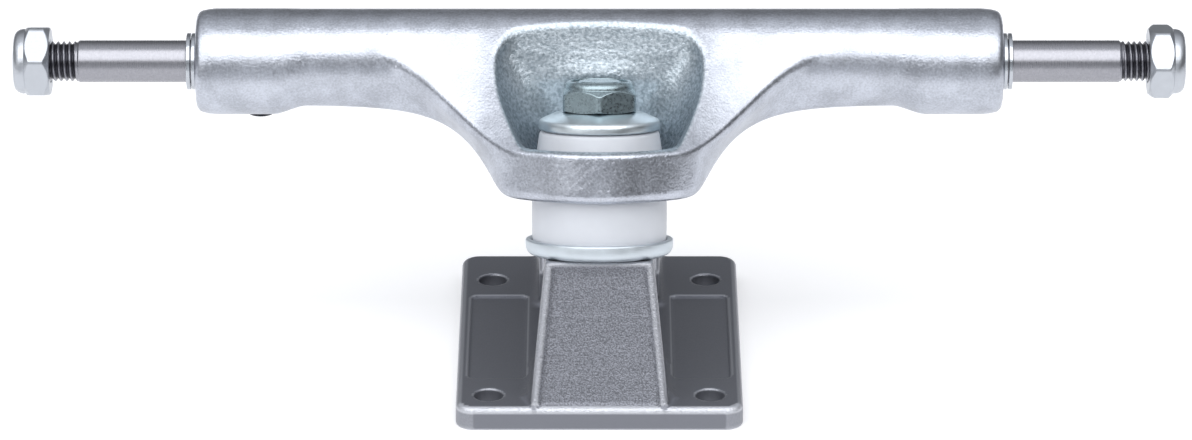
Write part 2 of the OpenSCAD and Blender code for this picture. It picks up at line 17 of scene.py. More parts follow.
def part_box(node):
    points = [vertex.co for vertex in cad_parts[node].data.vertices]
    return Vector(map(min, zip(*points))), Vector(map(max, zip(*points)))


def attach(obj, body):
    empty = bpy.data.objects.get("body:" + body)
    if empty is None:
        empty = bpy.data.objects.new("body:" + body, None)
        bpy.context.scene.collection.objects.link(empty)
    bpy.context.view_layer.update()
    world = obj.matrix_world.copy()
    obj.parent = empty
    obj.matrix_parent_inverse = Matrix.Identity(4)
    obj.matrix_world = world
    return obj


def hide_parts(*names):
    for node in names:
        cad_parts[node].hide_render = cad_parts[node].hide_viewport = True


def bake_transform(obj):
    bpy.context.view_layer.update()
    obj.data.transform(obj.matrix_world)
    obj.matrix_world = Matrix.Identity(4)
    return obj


bl_info = {
    "name": "Skateboard truck",
    "version": (1, 0, 0),
    "blender": (4, 5, 0),
    "location": "3D View > Sidebar > Truck",
    "description": "Builds a cast skateboard truck with its axle, bushings and nuts",
    "category": "Add Mesh",
}

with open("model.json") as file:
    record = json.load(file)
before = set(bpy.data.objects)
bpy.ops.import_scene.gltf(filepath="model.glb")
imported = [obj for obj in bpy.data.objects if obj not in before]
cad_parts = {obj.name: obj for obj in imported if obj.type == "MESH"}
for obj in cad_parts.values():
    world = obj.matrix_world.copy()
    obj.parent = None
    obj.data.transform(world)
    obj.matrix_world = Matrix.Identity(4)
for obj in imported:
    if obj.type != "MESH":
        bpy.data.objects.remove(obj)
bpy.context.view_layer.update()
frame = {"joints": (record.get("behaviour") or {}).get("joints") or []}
MM = 0.001
TURN = 2 * math.pi
# A length that counts as nought, and a number that keeps a division from it
NEAR, TINY = 1e-7, 1e-9
JOINTS = {joint["name"]: joint for joint in frame["joints"]}
# Middle of the pivot's ball, and the direction of the steering axis from the yoke to it
PIVOT = np.array(JOINTS["hanger_steer"]["pos_m"])
STEER = np.array(JOINTS["hanger_steer"]["axis"])
# Where the kingpin's nut stands, and the kingpin's direction
NUT_SEAT = np.array(JOINTS["kingpin_nut_turn"]["pos_m"])
KINGPIN = np.array(JOINTS["kingpin_nut_turn"]["axis"])
FRONT = np.array([0, -KINGPIN[2], KINGPIN[1]])
PLATE_LOW, PLATE_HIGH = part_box("baseplate")
HANGER_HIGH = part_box("hanger")[1]
AXLE_LOW, AXLE_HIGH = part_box("axle")
AXLE = np.array((AXLE_LOW + AXLE_HIGH) / 2)
PIN_LOW, PIN_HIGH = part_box("axle_lock_pin")
PIN = (PIN_LOW + PIN_HIGH) / 2
PIN_R = PIN_HIGH.x - PIN.x
# Radius of the beam's drums, and of the axle inside the hanger
DRUM_R = HANGER_HIGH.z - AXLE[2]
CORE_R = AXLE_HIGH.z - AXLE[2]
ALONG_AXLE, UP = (1, 0, 0), (0, 0, 1)
# Share of a locknut's collar below the step that holds its nylon ring
COLLAR_STEP = 0.7
# Points on one thread's outline, and the step of those along a hexagon's bevels, which curve across the flats
THREAD_POINTS, BEVEL_STEP = 12, 0.12 * MM
# Ranges of a noise pattern's values: most of them, and a narrower one for more contrast
MOST, MIDDLE = (0.3, 0.7), (0.35, 0.65)
# Numbers of the Mix node's sockets, whose names repeat: the two numbers and the two colours that it mixes
NUMBER_A, NUMBER_B, COLOUR_A, COLOUR_B = 2, 3, 6, 7


def linear(code):
    """Linear red, green and blue of an sRGB hex colour: a dark part is divided by 12.92, and any other, with 0.055
    added and over 1.055, is raised to the power 2.4."""
    srgb = np.array([int(code[i:i + 2], 16) for i in (1, 3, 5)]) / 255
    return tuple(float(c) for c in np.where(srgb < 0.0405, srgb / 12.92, ((srgb + 0.055) / 1.055) ** 2.4))


def length(name, description, millimetres):
    """A length that the user can change, kept in metres."""
    return FloatProperty(name=name, description=description, default=millimetres * MM, precision=5, unit="LENGTH")


def colour(name, description, code):
    """A colour that the user can change, kept linear."""
    return FloatVectorProperty(name=name, description=description, default=linear(code), size=3, subtype="COLOR")


class StackSizes(bpy.types.PropertyGroup):
    """Sizes of the pieces along the kingpin."""

    bottom_washer_t: length("Bottom washer thickness", "Sheet of the cupped washer on the column", 1.6)
    bottom_washer_d: length("Bottom washer diameter", "Outside of the cupped washer on the column", 27.6)
    bottom_rim_h: length("Bottom rim", "Height of that washer's rim above its floor", 1.5)
    bottom_bushing_h: length("Bottom bushing height", "From the washer to the yoke", 12.8)
    bottom_bushing_d: length("Bottom bushing diameter", "Barrel bushing under the yoke", 25)
    web_t: length("Web thickness", "Metal of the yoke between the two bushings", 3.4)
    top_bushing_h: length("Top bushing height", "From the yoke to the top washer", 7.8)
    top_bushing_d: length("Top bushing diameter", "Cone bushing at its foot", 24)
    top_bushing_tip_d: length("Top bushing tip", "Cone bushing under the washer's rim", 22.2)
    top_washer_t: length("Top washer thickness", "Sheet of the cupped washer under the nut", 1.3)
    top_washer_d: length("Top washer diameter", "Outside of the cupped washer under the nut", 22.7)
    top_rim_h: length("Top rim", "How far that washer's rim hangs down", 2)
    bolt_d: length("Kingpin diameter", "Shank of the kingpin", 9.525)
    flats: length("Kingpin flats", "Across the flats of the kingpin's head and nut", 13.6)
    head_h: length("Kingpin head", "Height of the kingpin's head", 6)
    head_depth: length("Head depth", "From the column's seat down to the kingpin's head", 19.4)
    nut_hex_h: length("Kingpin nut hexagon", "Height of the nut's hexagon", 4.2)
    nut_collar_h: length("Kingpin nut collar", "Height of the nut's rolled collar", 1.5)
    pitch: length("Kingpin thread pitch", "Rise of the kingpin's thread in one turn", 1.058)
    slip: length("Slip", "Clearance of a piece that slips over the kingpin", 0.15)
    play: length("Play", "Clearance of a piece that turns on another", 0.05)

    def levels(self):
        """Heights above the column's seat: bushing, web, yoke's top, top washer, nut and kingpin's tip."""
        steps = [self.bottom_washer_t, self.bottom_bushing_h, self.web_t, self.top_bushing_h,
                 self.top_washer_t + self.play, self.nut_hex_h + self.nut_collar_h]
        return np.cumsum(steps)

    def seat(self):
        """The middle of the column's seat, from the nut down the kingpin."""
        return NUT_SEAT - KINGPIN * self.levels()[4]

    def top_rim_r(self):
        """Inside radius of the top washer's rim, where the sheet is pressed to four fifths of its thickness."""
        return self.top_washer_d / 2 - 0.8 * self.top_washer_t

    def yoke(self):
        """The middle of the web, where the steering axis starts."""
        low, high = self.levels()[1:3]
        return self.seat() + KINGPIN * (low + high) / 2


class HangerSizes(bpy.types.PropertyGroup):
    """Sizes of the cast hanger."""

    drum_l: length("Drum length", "Round part at each end of the beam", 14)
    scoop: length("Scoop", "How much the beam's underside is scooped inside the drums", 1.7)
    drum_edge_r: length("Drum edge", "Rounding of the drum's end", 0.9)
    drum_fall: length("Drum fall", "How much thinner the drum gets towards its end", 1.2)
    drum_fall_l: length("Drum fall length", "Length over which the drum gets thinner", 4.5)
    chin_reach: length("Chin reach", "From the kingpin forward to the chin", 15.7)
    chin_r: length("Chin radius", "How round the chin is, seen along the kingpin", 15)
    chin_fall: length("Chin fall", "How far the chin falls back along the wings", 14)
    chin_half: length("Chin half width", "From the middle to where the wings leave the round chin", 14.5)
    foot_half: length("Lower edge's half width", "From the middle to where the chin's lower edge turns up", 18.6)
    foot_turn: length("Lower edge's turn", "Length of that turn", 1.5)
    climb_l: length("Climb", "Length over which the lower edge gets most of the way to the beam", 6.9)
    wing_half: length("Wing half width", "From the middle to where the wings run into the beam", 42)
    seat_depth: length("Seat depth", "How deep the bottom bushing sits in the yoke", 3.4)
    lip_h: length("Lip height", "Lip above the pocket's floor in front", 2.9)
    lip_r: length("Lip radius", "Rounding of the lip's edge", 1)
    foot_r: length("Foot radius", "Rounding of the yoke's lower edge", 1.8)
    wing_r: length("Wing radius", "Rounding of the wings' edges where they run into the beam", 4)
    rim_r: length("Rim radius", "Rounding of the pocket's rim", 0.65)
    gusset_w: length("Gusset width", "Rib from the beam to the pivot nose", 9)
    web_hole_d: length("Web hole", "Hole in the web for the kingpin", 16.6)
    pocket_half: length("Pocket half width", "From the middle to the pocket's sides", 19.9)
    pocket_corner_r: length("Pocket corners", "Rounding of the pocket's upright corners", 5)
    pocket_widest: length("Widest place", "Height above the axle at which the pocket is widest", 2)
    pocket_arch_r: length("Pocket arch radius", "How round the pocket's back wall is, seen along the kingpin", 108)
    axle_cover: length("Axle cover", "From the axle forward to the pocket's back wall at its rim", 6.1)
    bulge: length("Bulge", "How far the back wall bulges before the axle", 1.2)
    bulge_drop: length("Bulge drop", "How far below the axle that bulge is", 2.6)
    bulge_h: length("Bulge height", "Height of that bulge, as the spread of a bell curve", 2.4)
    bulge_w: length("Bulge width", "Width of that bulge, as the spread of a bell curve", 7.5)
    nose_r: length("Nose radius", "Pivot nose at its root", 6.1)
    ball_r: length("Ball radius", "Pivot nose at its tip", 5.2)
    cell: length("Cell", "Spacing of the grid that the casting's skin is found on", 0.5)


class PlateSizes(bpy.types.PropertyGroup):
    """Sizes of the cast baseplate and of the pivot cup in it."""

    thickness: length("Plate thickness", "Plate beside the column", 4.5)
    corner_r: length("Corner radius", "Rounding of the plate's four corners", 3.4)
    edge_r: length("Edge radius", "Rounding of the plate's upper edge", 1.1)
    bolt_gap_x: length("Bolt gap across", "Between the deck bolts, along the axle", 41.275)
    bolt_gap_y: length("Bolt gap along", "Between the deck bolts, along the board", 53.975)
    hole_d: length("Hole diameter", "Holes for the deck bolts", 5.4)
    panel_x: length("Panel place", "From the middle to the middle of a sunk panel", 19.2)
    panel_w: length("Panel width", "Sunk panel across", 10.8)
    panel_l: length("Panel length", "Sunk panel along the board", 38.5)
    panel_depth: length("Panel depth", "How deep the panels are sunk", 0.5)
    face_reach: length("Face reach", "From the kingpin forward to the column's face at its top", 10.2)
    face_spread: length("Face spread", "How much further forward the face is at its foot", 1.6)
    face_top_w: length("Face width at the top", "Face between the ribs under the washer", 16.4)
    face_foot_w: length("Face width at the foot", "Face between the ribs at the plate", 21.2)
    rib_w: length("Rib width", "Ribs beside the column's face", 1.9)
    rib_rise: length("Rib rise", "How far the ribs stand out of the face", 0.7)
    flare_r: length("Flare radius", "Hollow rounding from the column's face to the plate's front edge", 3.2)
    column_back: length("Column back", "From the kingpin to the column's back", 11.2)
    fillet_r: length("Fillet radius", "Hollow rounding where the column's sides grow out of the plate", 2)
    saddle_w: length("Saddle width", "Ridge from the column to the pivot housing", 17)
    saddle_h: length("Saddle height", "Height of that ridge above the deck", 9)
    cup_wall: length("Cup wall", "Wall of the pivot cup", 2.4)
    cup_rise: length("Cup rise", "How far the cup reaches over the ball", 7)
    cup_rim_t: length("Cup rim", "Thickness of the cup's rim", 1)
    housing_wall: length("Housing wall", "Metal round the pivot cup", 3)
    cell: length("Cell", "Spacing of the grid that the casting's skin is found on", 0.45)


class AxleSizes(bpy.types.PropertyGroup):
    """Sizes of the axle and of what is on it."""

    seat_d: length("Bearing seat", "Axle where a wheel's bearings sit", 7.92)
    thread_l: length("Thread length", "Threaded part at each end", 11.8)
    thread_drop: length("Thread drop", "How far the thread's crests lie below the bearing seat", 0.16)
    thread_depth: length("Thread depth", "From a crest to the root", 0.55)
    pitch: length("Thread pitch", "Rise of the thread in one turn", 1.058)
    nut_flats: length("Nut flats", "Across the flats of the axle nuts", 12.7)
    nut_hex_h: length("Nut hexagon", "Height of the axle nuts' hexagon", 4.6)
    nut_collar_h: length("Nut collar", "Height of the axle nuts' rolled collar", 2.2)
    nut_bevel: length("Nut bevel", "How high the bevel under the nut reaches at the corners", 1.1)
    lock_flat: length("Lock flat", "Flat on the axle under the lock pin", 0.6)


class TruckColours(bpy.types.PropertyGroup):
    """Colours of the finishes."""

    aluminium: colour("Aluminium", "Tumbled hanger", "#BABEC7")
    gunmetal: colour("Gunmetal", "Baseplate's coat", "#76787F")
    zinc: colour("Zinc", "Bottom washer", "#D3DBE1")
    rubbed: colour("Rubbed zinc", "Top washer", "#DAE3E8")
    passivated: colour("Passivated zinc", "Kingpin and its nut", "#9BABB1")
    steel: colour("Steel", "Ground axle", "#A0A0A6")
    bright_zinc: colour("Bright zinc", "Axle nuts and speed rings", "#BEC2C8")
    urethane: colour("Urethane", "Bushings", "#CDD0D6")
    nylon: colour("Nylon", "Rings in the locknuts", "#DDE3E4")
    cup: colour("Cup urethane", "Pivot cup", "#E4E1D6")
    pin: colour("Blackened steel", "Lock pin", "#34353A")
    floor: colour("Floor", "Studio floor", "#DEDEDF")


class TruckSettings(bpy.types.PropertyGroup):
    """All that a user can change."""

    stack: PointerProperty(type=StackSizes, name="Kingpin stack")
    hanger: PointerProperty(type=HangerSizes, name="Hanger")
    plate: PointerProperty(type=PlateSizes, name="Baseplate")
    axle: PointerProperty(type=AxleSizes, name="Axle")
    colours: PointerProperty(type=TruckColours, name="Colours")


def truck():
    """The settings of this scene's truck."""
    return bpy.context.scene.truck


def mix(a, b, f):
    """An even change from a to b as f goes from 0 to 1."""
    return a + (b - a) * f


def ease(f):
    """A change from 0 to 1 that starts and ends level: 3f squared less 2f cubed."""
    f = np.clip(f, 0, 1)
    return f * f * (3 - 2 * f)


def bar(u, v, a, b):
    """Signed distance from the tapered bar round two circles (u, v, radius): the nearer end's circle where the
    point lies past that end, and otherwise the straight line that touches both circles."""
    du, dv = b[0] - a[0], b[1] - a[1]
    span = np.hypot(du, dv)
    apart = span > NEAR
    span = np.maximum(span, NEAR)
    du, dv = np.where(apart, du / span, 1), np.where(apart, dv / span, 0)
    along = (u - a[0]) * du + (v - a[1]) * dv
    off = np.abs((u - a[0]) * dv - (v - a[1]) * du)
    taper = np.clip((a[2] - b[2]) / span, -0.999, 0.999)
    rise = np.sqrt(1 - taper * taper)
    turn = rise * along - taper * off
    straight = rise * off + taper * along - a[2]
    past = np.where(turn > rise * span, np.hypot(along - span, off) - b[2], straight)
    return np.where(turn < 0, np.hypot(along, off) - a[2], past)


def triangle(u, v, a, b, c):
    """Signed distance inside a triangle: the largest distance beyond any of its three sides, endless outside."""
    area = (b[0] - a[0]) * (c[1] - a[1]) - (b[1] - a[1]) * (c[0] - a[0])
    beyond = -np.inf
    for p, q in ((a, b), (b, c), (c, a)):
        du, dv = q[0] - p[0], q[1] - p[1]
        span = np.sqrt(du * du + dv * dv) + TINY
        beyond = np.maximum(beyond, np.sign(area) * ((u - p[0]) * dv - (v - p[1]) * du) / span)
    return np.where((np.abs(area) > TINY) & (beyond < 0), beyond, np.inf)


def band(u, v, circles):
    """Signed distance from the outline of a band stretched round circles (u, v, radius): the least of the bars
    between each two of them and of the triangles between each three."""
    bars = [bar(u, v, a, b) for a, b in itertools.combinations(circles, 2)]
    fills = [triangle(u, v, a, b, c) for a, b, c in itertools.combinations(circles, 3)]
    return np.minimum.reduce([np.broadcast_to(d, np.broadcast(u, v, *bars).shape) for d in bars + fills])


def overlap(a, b, r):
    """Signed distance from the overlap of two solids, with the edge between them rounded to radius r: the larger of
    the two distances or, near that edge, the distance from an edge set back by r, less r."""
    return np.minimum(np.maximum(a, b), -r) + np.hypot(np.maximum(a + r, 0), np.maximum(b + r, 0))


def joined(a, b, r):
    """Signed distance from two solids together, with a hollow rounding of radius r between them: the smaller of the
    two distances or, near the crease, r less the distance from a line that lies r outside both."""
    return np.maximum(np.minimum(a, b), r) - np.hypot(np.maximum(r - a, 0), np.maximum(r - b, 0))


def rounded_box(u, v, half_u, half_v, r):
    """Signed distance from a rectangle with rounded corners: that from a rectangle smaller by r, less r."""
    du, dv = np.abs(u) - half_u + r, np.abs(v) - half_v + r
    return np.hypot(np.maximum(du, 0), np.maximum(dv, 0)) + np.minimum(np.maximum(du, dv), 0) - r


def kingpin_place(y, z):
    """Distance q towards the pivot, square to the kingpin, and height s along it from the column's seat: a turn of y
    and z by the kingpin's lean."""
    seat = truck().stack.seat()
    q = (y - seat[1]) * KINGPIN[2] - (z - seat[2]) * KINGPIN[1]
    return q, (y - seat[1]) * KINGPIN[1] + (z - seat[2]) * KINGPIN[2]


def from_kingpin(q, s):
    """The y and z of a place given by kingpin_place: the same turn the other way."""
    seat = truck().stack.seat()
    return seat[1] + q * KINGPIN[2] + s * KINGPIN[1], seat[2] - q * KINGPIN[1] + s * KINGPIN[2]


def pivot_place(y, z):
    """Distance t along the steering axis from the yoke, and height n square to that axis: a turn of y and z by the
    axis' fall."""
    yoke = truck().stack.yoke()
    t = (y - yoke[1]) * STEER[1] + (z - yoke[2]) * STEER[2]
    return t, (z - yoke[2]) * STEER[1] - (y - yoke[1]) * STEER[2]


def cup_sizes():
    """Distances along the steering axis of the cup's mouth, the ball and the cup's end, and the cup's radius."""
    plate, hanger, play = truck().plate, truck().hanger, truck().stack.play
    ball = float(np.linalg.norm(PIVOT - truck().stack.yoke()))
    wall = play + plate.cup_wall
    return ball - plate.cup_rise, ball, ball + hanger.ball_r + wall, hanger.nose_r + wall


def pocket_field(x, y, z):
    """Signed distance from the hollow over the yoke: at each height along the kingpin a band round the bushing's
    seat and four corners, wider upwards, with the back wall leaning in before the axle's metal and the front open
    above the lip."""
    h, stack = truck().hanger, truck().stack
    q, s = kingpin_place(y, z)
    axle_q, axle_s = kingpin_place(AXLE[1], AXLE[2])
    floor = stack.levels()[2]
    floor_r, mouth_r, mouth_q = 0.5 * MM, MM, 3 * MM
    seat_r = stack.top_bushing_d / 2 + 4 * stack.slip
    # On the way up the corners get smaller late, and the sides spread early
    rise = np.clip((s - floor) / (axle_s + h.pocket_widest - floor), 0, 1)
    r = mix(seat_r, h.pocket_corner_r, rise ** 2)
    half = mix(seat_r, h.pocket_half, 1 - (1 - rise) ** 1.8)
    back = mix(seat_r, axle_q - h.axle_cover, rise)
    over = (s - axle_s + h.bulge_drop) / h.bulge_h
    back = back - h.bulge * np.exp(-(over ** 2 + (x / h.bulge_w) ** 2) / 2)
    arched = q + x * x / (2 * h.pocket_arch_r)
    walls = band(x, arched, [(0, np.minimum(0, back - seat_r), seat_r), (half - r, 0, r), (r - half, 0, r),
                             (half - r, back - r, r), (r - half, back - r, r)])
    mouth = overlap(overlap(np.abs(x) - half, floor + h.lip_h - s, mouth_r), arched - mouth_q, mouth_r)
    return overlap(np.minimum(walls, mouth), floor - s, floor_r)


def nose_field(x, y, z):
    """Signed distance from the pivot nose: a bar along the steering axis, from two fifths of the way to the cup's
    mouth, that tapers into the ball."""
    h = truck().hanger
    t, n = pivot_place(y, z)
    mouth, ball = cup_sizes()[:2]
    rim = mouth - truck().plate.cup_rim_t
    off = np.hypot(x, n)
    root = bar(t, off, (0.4 * mouth, 0, h.nose_r), (rim, 0, h.nose_r))
    return np.minimum(root, bar(t, off, (rim, 0, h.nose_r), (ball, 0, h.ball_r)))


def beam_field(x, y, z):
    """Signed distance from the hanger's body. Square to the axle it is a band round the beam, the crease at the
    lip, the chin's lower edge and the back of the yoke, which run into the beam along the wings."""
    h, stack = truck().hanger, truck().stack
    half = HANGER_HIGH.x
    web, top = stack.levels()[1:3]
    ring_s = web - h.seat_depth
    u = np.abs(x)
    hollow = h.scoop * ease((half - h.drum_l - u) / (h.drum_l / 2))
    end = np.clip((u - half) / h.drum_fall_l + 1, 0, 0.98)
    fall = h.drum_fall * (1 - np.sqrt(1 - end * end))
    beam_z, beam_r = AXLE[2] + hollow / 2, DRUM_R - hollow / 2 - fall
    chin = h.chin_reach - h.chin_fall * (1 - np.exp(-u * u / (2 * h.chin_r * h.chin_fall)))
    ring = np.sqrt(np.maximum(h.chin_reach ** 2 - u * u, 0))
    out = ease((u - h.chin_half) / (h.wing_half - h.chin_half))
    past = u - h.foot_half
    climb = 1 - np.exp(-(past + np.hypot(past, h.foot_turn)) / (2 * h.climb_l))
    # The yoke's back has risen into the beam a quarter of the chin's reach outside the chin
    sink = ease((1.25 * h.chin_reach - u) / (0.6 * h.chin_reach))
    lip = (*from_kingpin(h.lip_r - chin, top + h.lip_h - h.lip_r), h.lip_r)
    foot = (*from_kingpin(h.foot_r - chin, ring_s + h.foot_r), h.foot_r)
    heel = (*from_kingpin(ring - h.foot_r, ring_s + h.foot_r), h.foot_r)
    # Angles round the axle, from behind it over its top, at which the wings' two edges run into the beam
    upper, under = ((AXLE[1] + (beam_r - h.wing_r) * math.cos(math.radians(a)),
                     beam_z + (beam_r - h.wing_r) * math.sin(math.radians(a)), h.wing_r) for a in (156, 239))
    crease = [mix(a, b, out) for a, b in zip(lip, upper)]
    lower = [mix(a, b, climb) for a, b in zip(foot, under)]
    back = [mix(a, b, sink) for a, b in zip(under, heel)]
    body = band(y, z, [(AXLE[1], beam_z, beam_r), crease, lower, back])
    return overlap(body, u - half, h.drum_edge_r)


def hanger_field(x, y, z):
    """Signed distance from the hanger: the nose and a gusset join its body, and the bushings' seats, the pocket,
    the axle and the lock pin are taken out."""
    h, stack = truck().hanger, truck().stack
    rib_r, rib_edge_r, nose_fillet_r, rib_fillet_r = MM, 2 * MM, 4 * MM, 3 * MM
    seat_floor_r, bore_edge_r = 0.4 * MM, 0.6 * MM
    web = stack.levels()[1]
    body = beam_field(x, y, z)
    mouth, ball = cup_sizes()[:2]
    middle = stack.yoke()
    # The gusset ends most of the way to the cup's mouth
    reach = mix(middle, PIVOT, 0.85 * mouth / ball)
    rib = band(y, z, [(AXLE[1] - DRUM_R / 2, AXLE[2] - DRUM_R / 2, rib_r), (middle[1], middle[2], rib_r),
                      (reach[1], reach[2], rib_r), (AXLE[1] + 0.6 * DRUM_R, AXLE[2] - 0.6 * DRUM_R, rib_r)])
    rib = overlap(rib, np.abs(x) - h.gusset_w / 2, rib_edge_r)
    body = joined(joined(body, nose_field(x, y, z), nose_fillet_r), rib, rib_fillet_r)
    q, s = kingpin_place(y, z)
    off = np.hypot(x, q)
    seat_r = stack.bottom_bushing_d / 2 + 2 * stack.slip
    body = overlap(body, -overlap(off - seat_r, s - web, seat_floor_r), bore_edge_r)
    body = overlap(body, -pocket_field(x, y, z), h.rim_r)
    body = overlap(body, h.web_hole_d / 2 - off, bore_edge_r)
    body = np.maximum(body, CORE_R - np.hypot(y - AXLE[1], z - AXLE[2]))
    pin_hole = np.hypot(x - PIN.x, y - PIN.y) - PIN_R
    return np.maximum(body, -np.maximum(pin_hole, z - AXLE[2]))


def column_field(x, y, z):
    """Signed distance from the kingpin column: at each height along the kingpin a band round two wide circles
    behind and straight sides, narrower upwards, cut off by the front, which rises from the face to a rib at each
    side and to the seat's edge on top."""
    p, seat_edge_r = truck().plate, 0.8 * MM
    q, s = kingpin_place(y, z)
    foot_s = (p.thickness - truck().stack.seat()[2]) / KINGPIN[2]
    down = np.clip(s / foot_s, 0, 1.2)
    face = mix(p.face_top_w, p.face_foot_w, down) / 2
    half = face + p.rib_w
    back_r, ahead = 0.6 * p.column_back, -2 * p.face_reach
    sides = band(np.abs(x), q, [(half - back_r, p.column_back - back_r, back_r), (half - back_r, ahead, back_r),
                                (back_r - half, p.column_back - back_r, back_r)])
    # 1 on the face between the ribs, and 0 on the ribs and close under the seat
    level = (1 - ease((np.abs(x) - face + 0.2 * p.rib_w) / (0.7 * p.rib_w))) * ease(-0.3 - s / (1.5 * MM))
    front = -q - p.face_reach - p.face_spread * down - p.rib_rise * (1 - level)
    return overlap(overlap(sides, front, 0.5 * p.rib_w), s, seat_edge_r)


def housing_field(x, y, z):
    """Signed distance from the pivot cup's housing: a round back over straight sides, cut off square to the
    steering axis at its mouth, with a rear wall that runs from the round back's end down to the plate's edge."""
    p, edge_r, under_r = truck().plate, 1.2 * MM, MM
    t, n = pivot_place(y, z)
    mouth, _, end, cup_r = cup_sizes()
    r = cup_r + p.housing_wall
    sides = np.where(n > 0, np.hypot(x, n), np.abs(x)) - r
    foot = (PIVOT[1] - r / 2, p.thickness / 2)
    yoke_y, yoke_z = truck().stack.yoke()[1:]
    low = yoke_y + mouth * STEER[1] + r * STEER[2], yoke_z + mouth * STEER[2] - r * STEER[1]
    du, dv = foot[0] - low[0], foot[1] - low[1]
    under = ((y - low[0]) * dv - (z - low[1]) * du) / math.hypot(du, dv)
    arch = np.sqrt(np.maximum(r * r - x * x, 0))
    edge_y, edge_z = PLATE_HIGH.y - MM, p.thickness
    rear_y = yoke_y + end * STEER[1] - arch * STEER[2] - edge_y
    rear_z = yoke_z + end * STEER[2] + arch * STEER[1] - edge_z
    rear = ((y - edge_y) * rear_z - (z - edge_z) * rear_y) / np.hypot(rear_y, rear_z)
    return overlap(overlap(overlap(sides, mouth - t, edge_r), rear, edge_r), under, under_r)


def plate_field(x, y, z):
    """Signed distance from the baseplate: a slab that the column, the ridge and the pivot housing grow out of with
    hollow roundings, which narrow towards the front edge, cut to the plate's outline, less the holes, the panels and
    the kingpin's and cup's bores."""
    p, stack = truck().plate, truck().stack
    ridge_r, panel_corner_r = 2 * MM, 1.2 * MM
    hole_edge_r, panel_floor_r, edge_r, cup_edge_r = 0.3 * MM, 0.3 * MM, 0.4 * MM, 0.5 * MM
    middle = (PLATE_LOW + PLATE_HIGH) / 2
    q, s = kingpin_place(y, z)
    flare = mix(p.fillet_r, p.flare_r, ease(-q / p.face_reach - 0.2))
    flare = np.minimum(flare, 0.3 * MM + 0.7 * np.maximum(y - PLATE_LOW.y - p.edge_r, 0))
    body = joined(z - p.thickness, column_field(x, y, z), flare)
    ridge = overlap(np.abs(x) - p.saddle_w / 2, z - p.saddle_h, ridge_r)
    seat = stack.seat()
    ridge = np.maximum(ridge, np.abs(y - (seat[1] + PIVOT[1]) / 2) - (PIVOT[1] - seat[1]) / 2)
    body = joined(joined(body, ridge, ridge_r), housing_field(x, y, z), ridge_r)
    outline = rounded_box(x, y - middle.y, PLATE_HIGH.x, PLATE_HIGH.y - middle.y, p.corner_r)
    body = overlap(overlap(body, outline, p.edge_r), -z, edge_r)
    hole = np.hypot(np.abs(x) - p.bolt_gap_x / 2, np.abs(y) - p.bolt_gap_y / 2) - p.hole_d / 2
    body = overlap(body, -hole, hole_edge_r)
    panel = rounded_box(np.abs(x) - p.panel_x, y, p.panel_w / 2, p.panel_l / 2, panel_corner_r)
    body = overlap(body, -overlap(panel, p.thickness - p.panel_depth - z, panel_floor_r), edge_r)
    body = np.maximum(body, stack.bolt_d / 2 + stack.play - np.hypot(x, q))
    thirds = [np.abs(x * math.cos(a) + q * math.sin(a)) for a in (0, TURN / 6, TURN / 3)]
    head = np.maximum.reduce([np.broadcast_to(d, body.shape) for d in thirds]) - stack.flats / 2 - stack.slip
    body = overlap(body, -np.maximum(head, s + stack.head_depth), edge_r)
    t, n = pivot_place(y, z)
    _, _, end, cup_r = cup_sizes()
    return overlap(body, -np.maximum(np.hypot(x, n) - cup_r, t - end), cup_edge_r)


def slope(field, points, step):
    """Value, gradient and summed second differences of a field at points, from its values a step to each side."""
    value = field(*points.T)
    pairs = [(field(*(points + d).T), field(*(points - d).T)) for d in np.eye(3) * step]
    gradient = np.stack([(high - low) / (2 * step) for high, low in pairs], 1)
    curve = sum(high + low - 2 * value for high, low in pairs) / step ** 2
    return value, gradient, curve


def skin(field, low, high, cell):
    """Points and four-sided faces of the surface on which a field of signed distances is nought: a point in each
    grid cell that the surface passes through, drawn onto it along the gradient but never out of its cell, and a
    face across each grid edge that runs from inside to outside. Also gives how sharply the surface curves outwards
    at each point."""
    axes = [np.arange(a - 1.5 * cell, b + 2 * cell, cell) for a, b in zip(low, high)]
    inside = field(*np.meshgrid(*axes, indexing="ij", sparse=True)) < 0
    corners = [inside[tuple(slice(i, n - 1 + i) for i, n in zip(corner, inside.shape))]
               for corner in itertools.product((0, 1), repeat=3)]
    count = np.add.reduce([c.astype(np.int8) for c in corners])
    crossed = (count > 0) & (count < 8)
    number = np.full(crossed.shape, -1)
    number[crossed] = np.arange(np.count_nonzero(crossed))
    centres = np.stack([axis[i] + cell / 2 for axis, i in zip(axes, np.nonzero(crossed))], 1)
    faces = []
    for a in range(3):
        order = (a, (a + 1) % 3, (a + 2) % 3)
        solid, index = inside.transpose(order), number.transpose(order)
        start, stop = solid[:-1, 1:-1, 1:-1], solid[1:, 1:-1, 1:-1]
        i, j, k = np.nonzero(start != stop)
        ring = np.stack([index[i, j, k], index[i, j + 1, k], index[i, j + 1, k + 1], index[i, j, k + 1]], 1)
        entering = stop[i, j, k]
        ring[entering] = ring[entering, ::-1]
        faces.append(ring)
    points, rounds, step, reach, least_slope = centres, 5, cell / 6, 0.49 * cell, 0.2
    for _ in range(rounds):
        value, gradient, curve = slope(field, points, step)
        move = value / np.maximum((gradient ** 2).sum(1), least_slope)
        points = points - np.clip(move, -cell / 2, cell / 2)[:, None] * gradient
        points = np.clip(points, centres - reach, centres + reach)
    return points, np.concatenate(faces), curve


